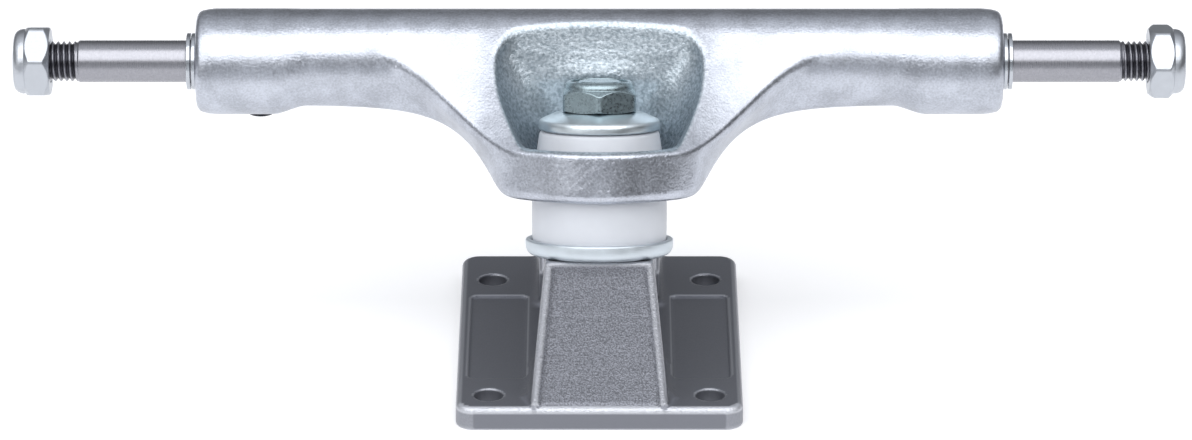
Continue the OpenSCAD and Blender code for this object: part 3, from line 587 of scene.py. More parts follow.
def rounded(corners, steps=6):
    """A line through corners (radius, height, setback), each corner replaced by a parabola that starts and ends
    its setback away from it along the two straight parts."""
    corners = np.array(corners, float)
    place, back = corners[:, :2], corners[:, 2:]
    away = [np.roll(place, 1, 0) - place, np.roll(place, -1, 0) - place]
    near = [place + back * d / np.maximum(np.linalg.norm(d, axis=1, keepdims=True), TINY) for d in away]
    f = np.linspace(0, 1, steps)[None, :, None]
    curve = mix(mix(near[0][:, None], place[:, None], f), mix(place[:, None], near[1][:, None], f), f)
    line = curve.reshape(-1, 2)
    moved = np.linalg.norm(line - np.roll(line, 1, 0), axis=1) > NEAR
    moved[0] = True
    return line[moved]


def finer(line, step, low, high):
    """The same line with points added at an even step where its height lies between two levels."""
    gone = np.concatenate([[0], np.cumsum(np.linalg.norm(np.diff(line, axis=0), axis=1))])
    added = np.arange(0, gone[-1], step)
    level = np.interp(added, gone, line[:, 1])
    places = np.union1d(gone, added[(level > low) & (level < high)])
    return np.stack([np.interp(places, gone, line[:, 0]), np.interp(places, gone, line[:, 1])], 1)


def turned(line, origin, axis, zero, sides=96, flats=None, turn=0.0, cut=None, loop=True):
    """Points and faces of a line (radius, height) carried round an axis from the direction zero. Flats hold the
    radius inside a hexagon with a corner at the angle turn, and cut gives a depth at each angle and height. A line
    that is no loop starts and ends on the axis."""
    origin, axis, zero = (np.array(v, float) for v in (origin, axis, zero))
    angle = TURN * np.arange(sides)[None] / sides
    radius, height = line[:, :1] + 0 * angle, line[:, 1:] + 0 * angle
    if flats:
        radius = np.minimum(radius, flats / 2 / np.cos((angle - turn) % (TURN / 6) - TURN / 12))
    if cut:
        radius = np.maximum(radius - cut(angle, height), 0)
    across = np.cos(angle)[..., None] * zero + np.sin(angle)[..., None] * np.cross(axis, zero)
    points = origin + radius[..., None] * across + height[..., None] * axis
    index = np.arange(radius.size).reshape(radius.shape)
    upper = np.roll(index, -1, 0)
    if not loop:
        index, upper = index[:-1], upper[:-1]
    faces = np.stack([index, np.roll(index, -1, 1), np.roll(upper, -1, 1), upper], -1)
    return points.reshape(-1, 3), faces.reshape(-1, 4)


def thread(pitch, depth, low, high, fade):
    """A cut for turned: the depth of a V thread with flats at crest and root, where the height's size lies between
    two levels, that runs out over a distance at both ends. Its flanks rise faster than a plain V's would, and are
    clipped."""
    flank, crest = 1.3, 0.15

    def cut(angle, height):
        phase = (height / pitch - angle / TURN) % 1
        groove = np.clip(flank * np.abs(2 * phase - 1) - crest, 0, 1)
        place = np.abs(height)
        return depth * groove * ease((place - low) / fade) * ease((high - place) / fade)

    return cut


def add_piece(name, points, faces, material, body, slot, sharp=40, weld=1e-6, marks=None, bend=None):
    """Makes a mesh object from points and faces, with points closer than weld merged and faces outwards, gives it
    its material, and lets it stand for the CAD node of its name. Marks are numbers kept at the points for the
    material to read. When bend is given, the piece keeps its place in the world with no parent; what bend holds, the
    other body and two places, is not read."""
    mesh = bpy.data.meshes.new(name)
    mesh.from_pydata(points, [], faces)
    for mark, values in (marks or {}).items():
        mesh.attributes.new(mark, "FLOAT", "POINT").data.foreach_set("value", np.asarray(values, np.float32))
    work = bmesh.new()
    work.from_mesh(mesh)
    bmesh.ops.remove_doubles(work, verts=work.verts, dist=weld)
    bmesh.ops.recalc_face_normals(work, faces=work.faces)
    work.to_mesh(mesh)
    work.free()
    mesh.shade_smooth()
    if sharp:
        mesh.set_sharp_from_angle(angle=math.radians(sharp))
    mesh.materials.append(material)
    piece = bpy.data.objects.new(name + "_piece", mesh)
    bpy.context.scene.collection.objects.link(piece)
    if not len(mesh.polygons):
        raise RuntimeError(name + " has no faces")
    if bend:
        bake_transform(piece)
    else:
        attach(piece, body)
    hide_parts(name)


def node(tree, kind, inputs=(), **settings):
    """Adds a node with its settings and fills its sockets, by name or number or, from a list, in their own order. An
    input is a value, an output of another node, or a node, which stands for the first output that it shows."""
    made = tree.nodes.new(kind)
    for name, value in settings.items():
        setattr(made, name, value)
    for key, value in inputs.items() if isinstance(inputs, dict) else enumerate(inputs):
        if isinstance(value, bpy.types.Node):
            value = next(output for output in value.outputs if output.enabled)
        if isinstance(value, bpy.types.NodeSocket):
            tree.links.new(value, made.inputs[key])
        else:
            made.inputs[key].default_value = value
    return made


def paint(shade, times=1.0):
    """A linear colour times a number, no part of it above 1, with its alpha."""
    return (*(min(1.0, times * c) for c in shade), 1.0)


def new_material(name):
    """An empty material, its tree, and the place on the piece that its patterns read."""
    material = bpy.data.materials.new(name)
    material.use_nodes = True
    tree = material.node_tree
    tree.nodes.clear()
    return material, tree, node(tree, "ShaderNodeTexCoord").outputs["Object"]


def tumbled_aluminium():
    """Cast aluminium, tumbled in stones until bright: the stones leave soft ripples and close the skin, but pits of
    the casting stay as dark specks. Inside the pocket, where no stone reached, the cast skin is dull and lumpy. Its
    grain and its lumps are drawn at 0.4 and 0.6 mm, coarser than the real ones, so that they show."""
    material, tree, where = new_material("tumbled_cast_aluminium")
    bare, pitted = truck().colours.aluminium, linear("#77797D")
    dull, sparkling = linear("#9CA7AF"), linear("#CDD6DD")
    cast = node(tree, "ShaderNodeAttribute", attribute_name="as_cast").outputs["Fac"]
    ripple = node(tree, "ShaderNodeTexNoise", {"Vector": where, "Scale": 1 / (5 * MM), "Detail": 3.0})
    grain = node(tree, "ShaderNodeTexNoise", {"Vector": where, "Scale": 1 / (0.4 * MM), "Detail": 2.0})
    lumps = node(tree, "ShaderNodeTexNoise", {"Vector": where, "Scale": 1 / (0.6 * MM), "Detail": 3.0})
    # A pit of its own size, or none, in each cell of a pattern
    cells = node(tree, "ShaderNodeTexVoronoi", {"Vector": where, "Scale": 1 / (2.2 * MM)})
    size = node(tree, "ShaderNodeMapRange", [cells.outputs["Color"], 0.3, 1.0, 0.0, 0.11])
    pit = node(tree, "ShaderNodeMapRange", [cells.outputs["Distance"], 0.0, size, 1.0, 0.0],
               interpolation_type="SMOOTHSTEP")
    grit = node(tree, "ShaderNodeMath", [grain, ripple], operation="ADD")
    glint = node(tree, "ShaderNodeMapRange", [grit, 0.75, 1.25, 0.0, 1.0])
    shine = node(tree, "ShaderNodeMix", {"Factor": glint, COLOUR_A: paint(bare, 0.82), COLOUR_B: paint(bare, 1.18)},
                 data_type="RGBA")
    specks = node(tree, "ShaderNodeMix", {"Factor": pit, COLOUR_A: shine, COLOUR_B: paint(pitted)}, data_type="RGBA")
    patches = node(tree, "ShaderNodeMapRange", [lumps, *MIDDLE, 0.0, 1.0])
    pocket = node(tree, "ShaderNodeMix", {"Factor": patches, COLOUR_A: paint(dull), COLOUR_B: paint(sparkling)},
                  data_type="RGBA")
    both = node(tree, "ShaderNodeMix", {"Factor": cast, COLOUR_A: specks, COLOUR_B: pocket}, data_type="RGBA")
    smooth = node(tree, "ShaderNodeMapRange", [grain, *MOST, 0.28, 0.38])
    rough = node(tree, "ShaderNodeMix", {"Factor": cast, NUMBER_A: smooth, NUMBER_B: 0.42})
    wave = node(tree, "ShaderNodeBump", {"Height": ripple, "Strength": 0.25, "Distance": 0.2 * MM})
    fine = node(tree, "ShaderNodeBump", {"Height": grain, "Strength": 0.3, "Distance": 0.15 * MM, "Normal": wave})
    holes = node(tree, "ShaderNodeBump", {"Height": pit, "Strength": 0.4, "Distance": 0.03 * MM, "Normal": fine},
                 invert=True)
    rise = node(tree, "ShaderNodeMath", [lumps, cast], operation="MULTIPLY")
    lumpy = node(tree, "ShaderNodeBump", {"Height": rise, "Strength": 0.35, "Distance": 0.2 * MM, "Normal": holes})
    shader = node(tree, "ShaderNodeBsdfPrincipled", {
        "Base Color": both, "Metallic": 1.0, "Roughness": rough, "Normal": lumpy})
    node(tree, "ShaderNodeOutputMaterial", [shader])
    return material


def gunmetal_coat():
    """Cast aluminium under a baked gunmetal powder coat: satin dark grey, with a painted highlight that makes convex
    edges paler, most of all on the plate's front edge. The column's face was blasted before, and there the coat has a
    grain that sparkles. It is drawn at 0.3 mm, coarser than the real one, so that it shows."""
    material, tree, where = new_material("gunmetal_powder_coat")
    coat, edge_highlight_grey = truck().colours.gunmetal, linear("#D2D4DA")
    edge = node(tree, "ShaderNodeAttribute", attribute_name="edge").outputs["Fac"]
    blasted = node(tree, "ShaderNodeAttribute", attribute_name="blasted").outputs["Fac"]
    grain = node(tree, "ShaderNodeTexNoise", {"Vector": where, "Scale": 1 / (0.3 * MM), "Detail": 2.0})
    flecks = node(tree, "ShaderNodeMapRange", [grain, 0.36, 0.64, 0.0, 1.0])
    amount = node(tree, "ShaderNodeMix", {"Factor": blasted, NUMBER_A: 0.46, NUMBER_B: flecks})
    tone = node(tree, "ShaderNodeMix", {"Factor": amount, COLOUR_A: paint(coat, 0.7), COLOUR_B: paint(coat, 1.4)},
                data_type="RGBA")
    # Painted highlight: the edge mark mixes convex edges up to three quarters of the way to a pale grey
    thin = node(tree, "ShaderNodeMapRange", [edge, 0.1, 0.9, 0.0, 0.75])
    wear_and_highlight = node(tree, "ShaderNodeMix", {"Factor": thin, COLOUR_A: tone, COLOUR_B: paint(edge_highlight_grey)}, data_type="RGBA")
    rough = node(tree, "ShaderNodeMapRange", [grain, *MOST, 0.34, 0.44])
    grit = node(tree, "ShaderNodeMath", [grain, blasted], operation="MULTIPLY")
    sparkle = node(tree, "ShaderNodeBump", {"Height": grit, "Strength": 0.6, "Distance": 0.25 * MM})
    shader = node(tree, "ShaderNodeBsdfPrincipled", {
        "Base Color": wear_and_highlight, "Metallic": 0.7, "Roughness": rough, "Normal": sparkle})
    node(tree, "ShaderNodeOutputMaterial", [shader])
    return material


def plated(name, shade, smoothest, roughest, patch=2.5 * MM, spread=0.1):
    """Steel under a thin plate of zinc, or blackened: a metal in the colour of that finish, clouded in patches of a
    size by a spread of tone, with the plate's faint orange-peel. The peel is drawn at 0.4 mm, coarser than the real
    one, so that it shows."""
    material, tree, where = new_material(name)
    cloud = node(tree, "ShaderNodeTexNoise", {"Vector": where, "Scale": 1 / patch, "Detail": 4.0})
    grain = node(tree, "ShaderNodeTexNoise", {"Vector": where, "Scale": 1 / (0.4 * MM), "Detail": 2.0})
    dark, pale = paint(shade, 1 - 1.2 * spread), paint(shade, 1 + 0.8 * spread)
    tone = node(tree, "ShaderNodeMix", {"Factor": cloud, COLOUR_A: dark, COLOUR_B: pale}, data_type="RGBA")
    rough = node(tree, "ShaderNodeMapRange", [cloud, *MOST, smoothest, roughest])
    peel = node(tree, "ShaderNodeBump", {"Height": grain, "Strength": 0.25, "Distance": 0.1 * MM})
    shader = node(tree, "ShaderNodeBsdfPrincipled", {
        "Base Color": tone, "Metallic": 1.0, "Roughness": rough, "Normal": peel})
    node(tree, "ShaderNodeOutputMaterial", [shader])
    return material


def ground_steel():
    """Chrome-moly steel, ground round between centres: fine rings of scratches round the axle, and darker in the
    thread's roots. The rings are drawn at 0.12 mm, coarser than the real ones, so that they show."""
    material, tree, where = new_material("centreless_ground_steel")
    ground, dim, root_dark = truck().colours.steel, linear("#85858B"), linear("#4A4A50")
    root = node(tree, "ShaderNodeAttribute", attribute_name="root").outputs["Fac"]
    rings = node(tree, "ShaderNodeMapping", {"Vector": where, "Scale": (1 / (0.12 * MM), 1 / (3 * MM), 1 / (3 * MM))})
    lines = node(tree, "ShaderNodeTexNoise", {"Vector": rings, "Scale": 1.0, "Detail": 3.0})
    specks = node(tree, "ShaderNodeTexNoise", {"Vector": where, "Scale": 1 / (0.45 * MM), "Detail": 2.0})
    dimmed = node(tree, "ShaderNodeMapRange", [specks, *MIDDLE, 0.0, 0.3])
    tone = node(tree, "ShaderNodeMix", {"Factor": dimmed, COLOUR_A: paint(ground), COLOUR_B: paint(dim)},
                data_type="RGBA")
    # The thread's roots, by the root mark, are mixed towards a dark grey
    dark_roots = node(tree, "ShaderNodeMix", {"Factor": root, COLOUR_A: tone, COLOUR_B: paint(root_dark)}, data_type="RGBA")
    rough = node(tree, "ShaderNodeMapRange", [lines, *MOST, 0.25, 0.33])
    scratch = node(tree, "ShaderNodeBump", {"Height": lines, "Strength": 0.3, "Distance": 0.01 * MM})
    shader = node(tree, "ShaderNodeBsdfPrincipled", {
        "Base Color": dark_roots, "Metallic": 1.0, "Roughness": rough, "Normal": scratch})
    node(tree, "ShaderNodeOutputMaterial", [shader])
    return material


def moulded(name, shade, rough, depth):
    """Urethane or nylon cast in a mould: a soft satin skin that lets light in to a depth, with faint flow marks."""
    material, tree, where = new_material(name)
    flow = node(tree, "ShaderNodeTexNoise", {"Vector": where, "Scale": 1 / (6 * MM), "Detail": 3.0})
    grain = node(tree, "ShaderNodeTexNoise", {"Vector": where, "Scale": 1 / (0.6 * MM), "Detail": 2.0})
    tone = node(tree, "ShaderNodeMix", {"Factor": flow, COLOUR_A: paint(shade, 0.93), COLOUR_B: paint(shade, 1.05)},
                data_type="RGBA")
    satin = node(tree, "ShaderNodeMapRange", [grain, *MOST, rough - 0.05, rough + 0.05])
    pores = node(tree, "ShaderNodeBump", {"Height": grain, "Strength": 0.2, "Distance": 0.02 * MM})
    shader = node(tree, "ShaderNodeBsdfPrincipled", {
        "Base Color": tone, "Roughness": satin, "IOR": 1.5, "Normal": pores, "Subsurface Weight": 0.25,
        "Subsurface Radius": (1.0, 0.95, 0.9), "Subsurface Scale": depth})
    node(tree, "ShaderNodeOutputMaterial", [shader])
    return material


def locknut(flats, hex_h, collar_h, bore_r, base, foot):
    """Closed outline (radius, height) of a locknut that stands at height base: a hexagon bevelled to the height
    foot below and more above, a rolled collar, and a step inside the collar that holds the nylon ring."""
    corner_r = 0.975 * flats / math.sqrt(3)
    bevel = corner_r - flats / 2
    collar_r = flats / 2 - 0.3 * bevel
    top, step_h = hex_h + collar_h, hex_h + COLLAR_STEP * collar_h
    lip_r = bore_r + 0.7 * MM
    roll = 0.6 * (collar_r - lip_r)
    line = rounded([
        (bore_r, 0.4 * MM, 0), (bore_r + 0.4 * MM, 0, 0), (flats / 2 - 0.2 * MM, 0, 0.1 * MM),
        (corner_r, foot, 0.15 * MM), (corner_r, hex_h - bevel, 0.15 * MM),
        (flats / 2 - 0.1 * MM, hex_h, 0.1 * MM), (collar_r, hex_h + 0.1 * MM, 0.1 * MM),
        (collar_r, hex_h + 0.6 * collar_h, 0.4 * collar_h), (collar_r - roll, top, roll / 2),
        (lip_r, top, roll / 3), (lip_r, step_h, 0.05 * MM), (bore_r, step_h, 0),
    ])
    return finer(line, BEVEL_STEP, -MM, top) + (0, base)


def nylon_ring(flats, hex_h, collar_h, bore_r, base):
    """Closed outline of the nylon ring in that locknut."""
    high = hex_h + COLLAR_STEP * collar_h
    low = high - 0.8 * collar_h
    outer = (bore_r + flats / 2) / 2
    edge = 0.15 * MM
    return rounded([(bore_r, low, edge), (outer, low, edge), (outer, high, edge), (bore_r, high, edge)]) + (0, base)


class TRUCK_OT_hanger(bpy.types.Operator):
    """Makes the hanger, one casting with beam, wings, yoke, pocket and pivot nose."""

    bl_idname = "truck.hanger"
    bl_label = "Hanger"

    def execute(self, context):
        low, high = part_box("hanger")
        points, faces, _ = skin(hanger_field, low, high, truck().hanger.cell)
        # The stones reach neither the pocket nor the nose
        sheltered = np.minimum(pocket_field(*points.T), nose_field(*points.T))
        cast = ease(1 - sheltered / (0.7 * MM))
        add_piece("hanger", points, faces, tumbled_aluminium(), "hanger_body", "hanger", sharp=None,
                  weld=0.2 * truck().hanger.cell, marks={"as_cast": cast})
        return {"FINISHED"}


class TRUCK_OT_baseplate(bpy.types.Operator):
    """Makes the baseplate with its column, panels and pivot housing."""

    bl_idname = "truck.baseplate"
    bl_label = "Baseplate"

    def execute(self, context):
        p = truck().plate
        points, faces, curve = skin(plate_field, PLATE_LOW, PLATE_HIGH, p.cell)
        x, y, z = points.T
        # Convex edges get a painted highlight, at full strength on the plate's front edge and at half elsewhere, and
        # the blast reached that edge and the column's face: each mark fades out over 1 mm
        front_edge = ease((PLATE_LOW.y - y) / MM + 3) * ease(1 - (z - p.thickness) / MM)
        edge = np.clip(curve * MM, 0, 1) * mix(0.5, 1, front_edge)
        q, _ = kingpin_place(y, z)
        face = ease((p.face_foot_w / 2 + p.rib_w - np.abs(x)) / MM) * ease((-q / p.face_reach - 0.75) / 0.1)
        blasted = np.maximum(face * ease((z - p.thickness) / MM + 1), edge * ease((PLATE_LOW.y - y) / MM + 2))
        add_piece("baseplate", points, faces, gunmetal_coat(), "base", "baseplate", sharp=None, weld=0.2 * p.cell,
                  marks={"edge": edge, "blasted": blasted})
        return {"FINISHED"}


class TRUCK_OT_pivot_cup(bpy.types.Operator):
    """Makes the urethane cup that the pivot nose sits in."""

    bl_idname = "truck.pivot_cup"
    bl_label = "Pivot cup"

    def execute(self, context):
        plate, hanger, play = truck().plate, truck().hanger, truck().stack.play
        mouth, ball, end, cup_r = cup_sizes()
        rim = mouth - plate.cup_rim_t
        rim_r = cup_r + plate.housing_wall / 2
        edge = 0.3 * MM
        outside = rounded([
            (0, end, 0), (cup_r, end, 2 * edge), (cup_r, mouth, 0), (rim_r, mouth, edge), (rim_r, rim, edge),
            (hanger.nose_r + play, rim, edge), (hanger.ball_r + play, ball, 0),
        ])
        angle = np.linspace(0, TURN / 4, 16)[1:]
        bowl = np.stack([np.cos(angle), np.sin(angle)], 1) * (hanger.ball_r + play) + (0, ball)
        line = np.concatenate([outside, bowl])
        add_piece("pivot_cup", *turned(line, truck().stack.yoke(), STEER, ALONG_AXLE, loop=False),
                  moulded("cup_urethane", truck().colours.cup, 0.45, MM), "base", "pivot_cup")
        return {"FINISHED"}


class TRUCK_OT_washers(bpy.types.Operator):
    """Makes the two cupped washers."""

    bl_idname = "truck.washers"
    bl_label = "Cupped washers"

    def execute(self, context):
        s = truck().stack
        top = s.levels()[3]
        hole = s.bolt_d / 2 + s.slip
        r, inner, edge = s.bottom_washer_d / 2, s.bottom_bushing_d / 2 + s.slip, 0.35 * MM
        rim, roll = s.bottom_washer_t + s.bottom_rim_h, 2.2 * MM
        bottom = rounded([(hole, 0, edge / 2), (r, 0, roll), (r, rim, edge), (inner, rim, edge),
                          (inner, s.bottom_washer_t, 2 * edge), (hole, s.bottom_washer_t, edge / 2)])
        r, inner = s.top_washer_d / 2, s.top_rim_r()
        high, rim = top + s.top_washer_t, top - s.top_rim_h
        dome_r, shoulder = 0.68 * r, rim + 1.7 * MM
        upper = rounded([(hole, top, edge / 2), (dome_r, top, 2 * edge), (inner, shoulder - edge, edge),
                         (inner, rim, edge), (r, rim, edge), (r, shoulder, 2 * edge), (dome_r, high, 3 * edge),
                         (hole, high, edge)])
        pale = plated("bright_zinc_on_pressed_steel", truck().colours.zinc, 0.42, 0.52)
        wear_and_highlight = plated("rubbed_zinc_on_pressed_steel", truck().colours.rubbed, 0.3, 0.4)
        for name, line, zinc in (("bottom_washer", bottom, pale), ("top_washer", upper, wear_and_highlight)):
            add_piece(name, *turned(line, s.seat(), KINGPIN, FRONT, sides=128), zinc, "base", "cup_washers")
        return {"FINISHED"}


class TRUCK_OT_bushings(bpy.types.Operator):
    """Makes the barrel and cone bushings."""

    bl_idname = "truck.bushings"
    bl_label = "Bushings"

    def execute(self, context):
        s = truck().stack
        low, web, yoke, top, _, _ = (float(level) for level in s.levels())
        bore = s.bolt_d / 2 + s.slip
        white = moulded("poured_white_urethane", truck().colours.urethane, 0.4, 1.5 * MM)
        r, edge = s.bottom_bushing_d / 2, MM
        barrel = rounded([(bore, low, edge / 3), (r, low, edge), (r + 0.15 * MM, mix(low, web, 0.45), 3 * MM),
                          (r, web, edge), (bore, web, edge / 3)], steps=10)
        r, tip = s.top_bushing_d / 2, s.top_bushing_tip_d / 2
        rim = top - s.top_rim_h - 0.2 * MM
        inner = s.top_rim_r() - s.slip
        cone = rounded([(bore, yoke, edge / 3), (r, yoke, 0.6 * edge), (tip, rim, 0.8 * edge), (inner, rim, 0),
                        (inner, rim + edge, edge / 2), (0.64 * inner, top, edge), (bore, top, edge / 3)], steps=10)
        # Share of its height at each end, for the two places given with bend, which nothing reads
        held = 0.08
        for name, line, start, end in (("bottom_bushing", barrel, low, web), ("top_bushing", cone, top, yoke)):
            ends = [tuple(s.seat() + KINGPIN * mix(start, end, f)) for f in (held, 1 - held)]
            add_piece(name, *turned(line, s.seat(), KINGPIN, FRONT, sides=128), white, "base", "bushings",
                      bend=("hanger_body", *ends))
        return {"FINISHED"}


class TRUCK_OT_kingpin(bpy.types.Operator):
    """Makes the kingpin, its locknut and the nylon ring in the nut."""

    bl_idname = "truck.kingpin"
    bl_label = "Kingpin and nut"

    def execute(self, context):
        s = truck().stack
        _, _, yoke, _, nut, tip = (float(level) for level in s.levels())
        zinc = plated("passivated_zinc_on_turned_steel", truck().colours.passivated, 0.22, 0.4, 0.45 * MM, 0.3)
        r, crest = s.bolt_d / 2, s.bolt_d / 2 - 0.21 * MM
        corner_r = s.flats / math.sqrt(3)
        head = -s.head_depth - s.head_h
        line = rounded([
            (0, head, 0), (s.flats / 2, head, 0.2 * MM), (corner_r, head + 0.6 * MM, 0.1 * MM),
            (corner_r, -s.head_depth, 0), (r, -s.head_depth, 0.4 * MM), (r, yoke, 0.2 * MM), (crest, yoke, 0),
            (crest, tip - 0.8 * MM, 0.2 * MM), (crest - 0.8 * MM, tip, 0.2 * MM), (0, tip, 0),
        ])
        line = finer(finer(line, s.pitch / THREAD_POINTS, yoke, tip), BEVEL_STEP, head, head + MM)
        cut = thread(s.pitch, 0.5 * MM, yoke + 0.3 * MM, tip, MM)
        add_piece("kingpin", *turned(line, s.seat(), KINGPIN, FRONT, flats=s.flats, cut=cut, loop=False), zinc, "base",
                  "kingpin", sharp=30)
        bore, bevel = r - 0.15 * MM, 0.4 * MM
        sizes = (s.flats, s.nut_hex_h, s.nut_collar_h, bore, nut)
        add_piece("kingpin_nut", *turned(locknut(*sizes, bevel), s.seat(), KINGPIN, FRONT, sides=180, flats=s.flats),
                  zinc, "kingpin_nut_body", "kingpin_nut", sharp=30)
        add_piece("kingpin_nut_insert", *turned(nylon_ring(*sizes), s.seat(), KINGPIN, FRONT),
                  moulded("moulded_nylon", truck().colours.nylon, 0.35, MM), "kingpin_nut_body", "nylon")
        return {"FINISHED"}


class TRUCK_OT_axle(bpy.types.Operator):
    """Makes the threaded axle and the pin that locks it in the hanger."""

    bl_idname = "truck.axle"
    bl_label = "Axle and lock pin"

    def execute(self, context):
        a = truck().axle
        half, seat_r = AXLE_HIGH.x, a.seat_d / 2
        core_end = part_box("right_outer_speed_ring")[1].x + 0.2 * MM
        start = half - a.thread_l
        crest, bevel = seat_r - a.thread_drop, 0.7 * MM
        right = rounded([
            (0, half, 0), (crest - bevel, half, 0.25 * MM), (crest, half - bevel, 0.2 * MM),
            (crest, start + 0.2 * MM, 0.1 * MM), (seat_r, start, 0.1 * MM), (seat_r, core_end, 0),
            (CORE_R, core_end, 0.15 * MM), (CORE_R, 0, 0),
        ])[:-1]
        right = finer(right, a.pitch / THREAD_POINTS, start, half)
        line = np.concatenate([right, right[::-1] * (1, -1)])
        cut = thread(a.pitch, a.thread_depth, start + 0.1 * MM, half, 0.8 * MM)
        points, faces = turned(line, AXLE, ALONG_AXLE, UP, cut=cut, loop=False)
        off = np.hypot(*(points[:, 1:] - AXLE[1:]).T)
        threaded = np.abs(points[:, 0]) > start + 0.2 * MM
        root = np.where(threaded, ease((crest - off) / a.thread_depth), 0)
        flat = AXLE[2] - CORE_R + a.lock_flat
        under = np.hypot(points[:, 0] - PIN.x, points[:, 1] - PIN.y) < PIN_R
        points[:, 2] = np.where(under & (points[:, 2] < flat), flat, points[:, 2])
        add_piece("axle", points, faces, ground_steel(), "hanger_body", "axle", sharp=30, marks={"root": root})
        h, edge = PIN_HIGH.z - PIN_LOW.z, 0.4 * MM
        line = rounded([(0, edge, 0), (0.3 * PIN_R, edge, edge / 2), (0.5 * PIN_R, 0, edge / 2), (PIN_R, 0, edge),
                        (PIN_R, h, edge), (0, h, 0)])
        black = plated("blackened_steel", truck().colours.pin, 0.4, 0.5)
        add_piece("axle_lock_pin", *turned(line, (PIN.x, PIN.y, PIN_LOW.z), UP, ALONG_AXLE, loop=False), black,
                  "hanger_body", "lock_pin")
        return {"FINISHED"}


class TRUCK_OT_axle_nuts(bpy.types.Operator):
    """Makes the axle nuts and the nylon rings in them."""

    bl_idname = "truck.axle_nuts"
    bl_label = "Axle nuts"

    def execute(self, context):
        a, play = truck().axle, truck().stack.play
        bright = plated("bright_zinc_on_cold_formed_steel", truck().colours.bright_zinc, 0.32, 0.4)
        white = moulded("moulded_nylon", truck().colours.nylon, 0.35, MM)
        bore = a.seat_d / 2 - 0.2 * MM + play
        # Each nut's side, its way along the axle, and the turn at which the photograph shows it
        for side, way, turn in (("left", -1, math.radians(49.7)), ("right", 1, math.radians(83))):
            name, outwards = side + "_axle_nut", (way, 0, 0)
            base = min(abs(corner.x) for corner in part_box(name))
            sizes = (a.nut_flats, a.nut_hex_h, a.nut_collar_h, bore, base)
            nut = locknut(*sizes, a.nut_bevel)
            add_piece(name, *turned(nut, AXLE, outwards, UP, sides=180, flats=a.nut_flats, turn=turn), bright,
                      name + "_body", "axle_nuts", sharp=30)
            add_piece(name + "_insert", *turned(nylon_ring(*sizes), AXLE, outwards, UP), white, name + "_body", "nylon")
        return {"FINISHED"}


class TRUCK_OT_speed_rings(bpy.types.Operator):
    """Makes the four speed rings."""

    bl_idname = "truck.speed_rings"
    bl_label = "Speed rings"

    def execute(self, context):
        bright = plated("bright_zinc_on_stamped_steel", truck().colours.bright_zinc, 0.12, 0.24)
        inner_r = CORE_R + truck().stack.play
        edge = 0.2 * MM
        for side, place in itertools.product(("left", "right"), ("inner", "outer")):
            name = f"{side}_{place}_speed_ring"
            low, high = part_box(name)
            r = high.z - AXLE[2]
            line = rounded([(inner_r, low.x, edge / 2), (r, low.x, edge), (r, high.x, edge / 2),
                            (inner_r, high.x, edge / 2)])
            add_piece(name, *turned(line, AXLE * (0, 1, 1), ALONG_AXLE, UP), bright, name + "_body", "speed_rings")
        return {"FINISHED"}


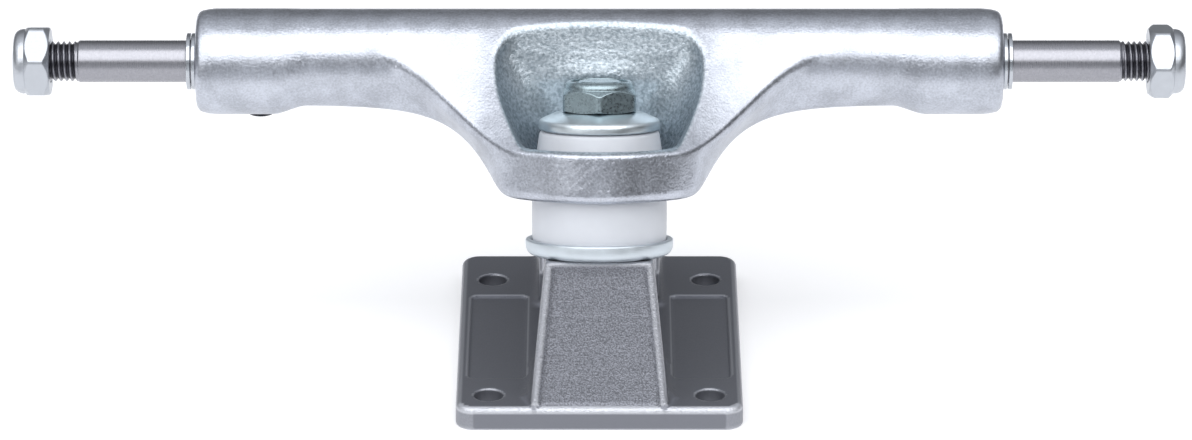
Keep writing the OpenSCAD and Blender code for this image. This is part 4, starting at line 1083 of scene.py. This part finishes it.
class TRUCK_OT_stage(bpy.types.Operator):
    """Makes the floor, the soft studio light and the camera."""

    bl_idname = "truck.stage"
    bl_label = "Stage"

    def execute(self, context):
        scene = context.scene
        # Opal acrylic lit from below: an even pale white with the least of clouding and soft, light shadows
        material, tree, where = new_material("lit_opal_acrylic")
        pale = truck().colours.floor
        cloud = node(tree, "ShaderNodeTexNoise", {"Vector": where, "Scale": 1 / (400 * MM), "Detail": 2.0})
        tone = node(tree, "ShaderNodeMix", {"Factor": cloud, COLOUR_A: paint(pale, 0.985), COLOUR_B: paint(pale)},
                    data_type="RGBA")
        shader = node(tree, "ShaderNodeBsdfPrincipled", {
            "Base Color": tone, "Roughness": 0.9, "Emission Color": tone, "Emission Strength": 0.5})
        node(tree, "ShaderNodeOutputMaterial", [shader])
        mesh = bpy.data.meshes.new("floor")
        left, right, front, back = -0.55, 0.4, -0.16, 1.2
        mesh.from_pydata([(left, front, 0), (right, front, 0), (right, back, 0), (left, back, 0)], [], [(0, 1, 2, 3)])
        mesh.materials.append(material)
        floor = bpy.data.objects.new("floor", mesh)
        scene.collection.objects.link(floor)

        # Name, place, size and power of each soft box: they all face the truck
        boxes = (
            ("overhead_soft_box", (0.0, -0.73, 1.08), (2.8, 1.44), 22),
            ("left_soft_box", (-1.3, -1.2, 0.55), (0.9, 0.9), 2),
        )
        target = Vector((0, 0, 0.04))
        for name, place, size, power in boxes:
            light = bpy.data.lights.new(name, "AREA")
            light.shape, light.size, light.size_y, light.energy = "RECTANGLE", *size, power
            lamp = bpy.data.objects.new(name, light)
            lamp.location = place
            lamp.rotation_euler = (Vector(place) - target).to_track_quat("Z", "Y").to_euler()
            scene.collection.objects.link(lamp)

        # The room: bright low down straight in front, dark on the right, even behind, and bright under the ceiling
        # behind the soft box. Each range turns a part of the direction, from -1 to 1, into a strength or a share
        world = bpy.data.worlds.new("studio_room")
        world.use_nodes = True
        tree = world.node_tree
        tree.nodes.clear()
        towards = node(tree, "ShaderNodeTexCoord").outputs["Generated"]
        split = node(tree, "ShaderNodeSeparateXYZ", [towards])
        x, y, z = (split.outputs[axis] for axis in "XYZ")
        side = node(tree, "ShaderNodeMapRange", [x, -0.9, 0.6, 0.36, 0.12])
        aside = node(tree, "ShaderNodeMath", [x], operation="ABSOLUTE")
        middle = node(tree, "ShaderNodeMapRange", [aside, 0.0, 0.55, 1.0, 0.0])
        low = node(tree, "ShaderNodeMapRange", [z, -0.1, 0.25, 0.75, 0.2])
        ahead = node(tree, "ShaderNodeMath", [middle, low, side], operation="MULTIPLY_ADD")
        behind = node(tree, "ShaderNodeMapRange", [y, -0.1, 0.4, 0.0, 1.0])
        walls = node(tree, "ShaderNodeMix", {"Factor": behind, NUMBER_A: ahead, NUMBER_B: 0.25})
        near = node(tree, "ShaderNodeMapRange", [y, 0.35, 0.85, 0.6, 0.0])
        high = node(tree, "ShaderNodeMapRange", [z, 0.3, 0.6, 0.0, 1.0])
        glow = node(tree, "ShaderNodeMath", [near, high, walls], operation="MULTIPLY_ADD")
        room = node(tree, "ShaderNodeBackground", {"Color": paint(linear("#F2F5FA")), "Strength": glow})
        node(tree, "ShaderNodeOutputWorld", [room])
        scene.world = world

        # The photograph's view: square to the axle, from above the front, through a long lens
        camera = bpy.data.cameras.new("camera")
        camera.sensor_width, camera.lens = 36.0, 191.8
        lift, distance, shift, rise = math.radians(22.9), 1.21, -0.63 * MM, 26.2 * MM
        back = Vector((0, -math.cos(lift), math.sin(lift)))
        right = Vector(ALONG_AXLE)
        up = back.cross(right)
        turn = Matrix((right, up, back)).transposed().to_4x4()
        eye = bpy.data.objects.new("camera", camera)
        eye.matrix_world = Matrix.Translation(back * distance + right * shift + up * rise) @ turn
        scene.collection.objects.link(eye)
        scene.camera = eye
        scene.view_settings.view_transform = "Standard"
        return {"FINISHED"}


PIECES = (TRUCK_OT_hanger, TRUCK_OT_baseplate, TRUCK_OT_pivot_cup, TRUCK_OT_washers, TRUCK_OT_bushings,
          TRUCK_OT_kingpin, TRUCK_OT_axle, TRUCK_OT_axle_nuts, TRUCK_OT_speed_rings, TRUCK_OT_stage)


class TRUCK_PT_panel(bpy.types.Panel):
    """Lists the steps that build the truck."""

    bl_idname = "TRUCK_PT_panel"
    bl_label = "Skateboard truck"
    bl_space_type = "VIEW_3D"
    bl_region_type = "UI"
    bl_category = "Truck"

    def draw(self, context):
        for step in PIECES:
            self.layout.operator(step.bl_idname)


CLASSES = (StackSizes, HangerSizes, PlateSizes, AxleSizes, TruckColours, TruckSettings, *PIECES, TRUCK_PT_panel)


def register():
    """Makes the settings, the operators and the panel known to Blender."""
    for kind in CLASSES:
        bpy.utils.register_class(kind)
    bpy.types.Scene.truck = PointerProperty(type=TruckSettings)


def unregister():
    """Takes them back."""
    del bpy.types.Scene.truck
    for kind in reversed(CLASSES):
        bpy.utils.unregister_class(kind)


def main():
    """Builds every piece and the stage."""
    register()
    for step in PIECES:
        group, name = step.bl_idname.split(".")
        getattr(getattr(bpy.ops, group), name)()


if __name__ == "__main__":
    main()
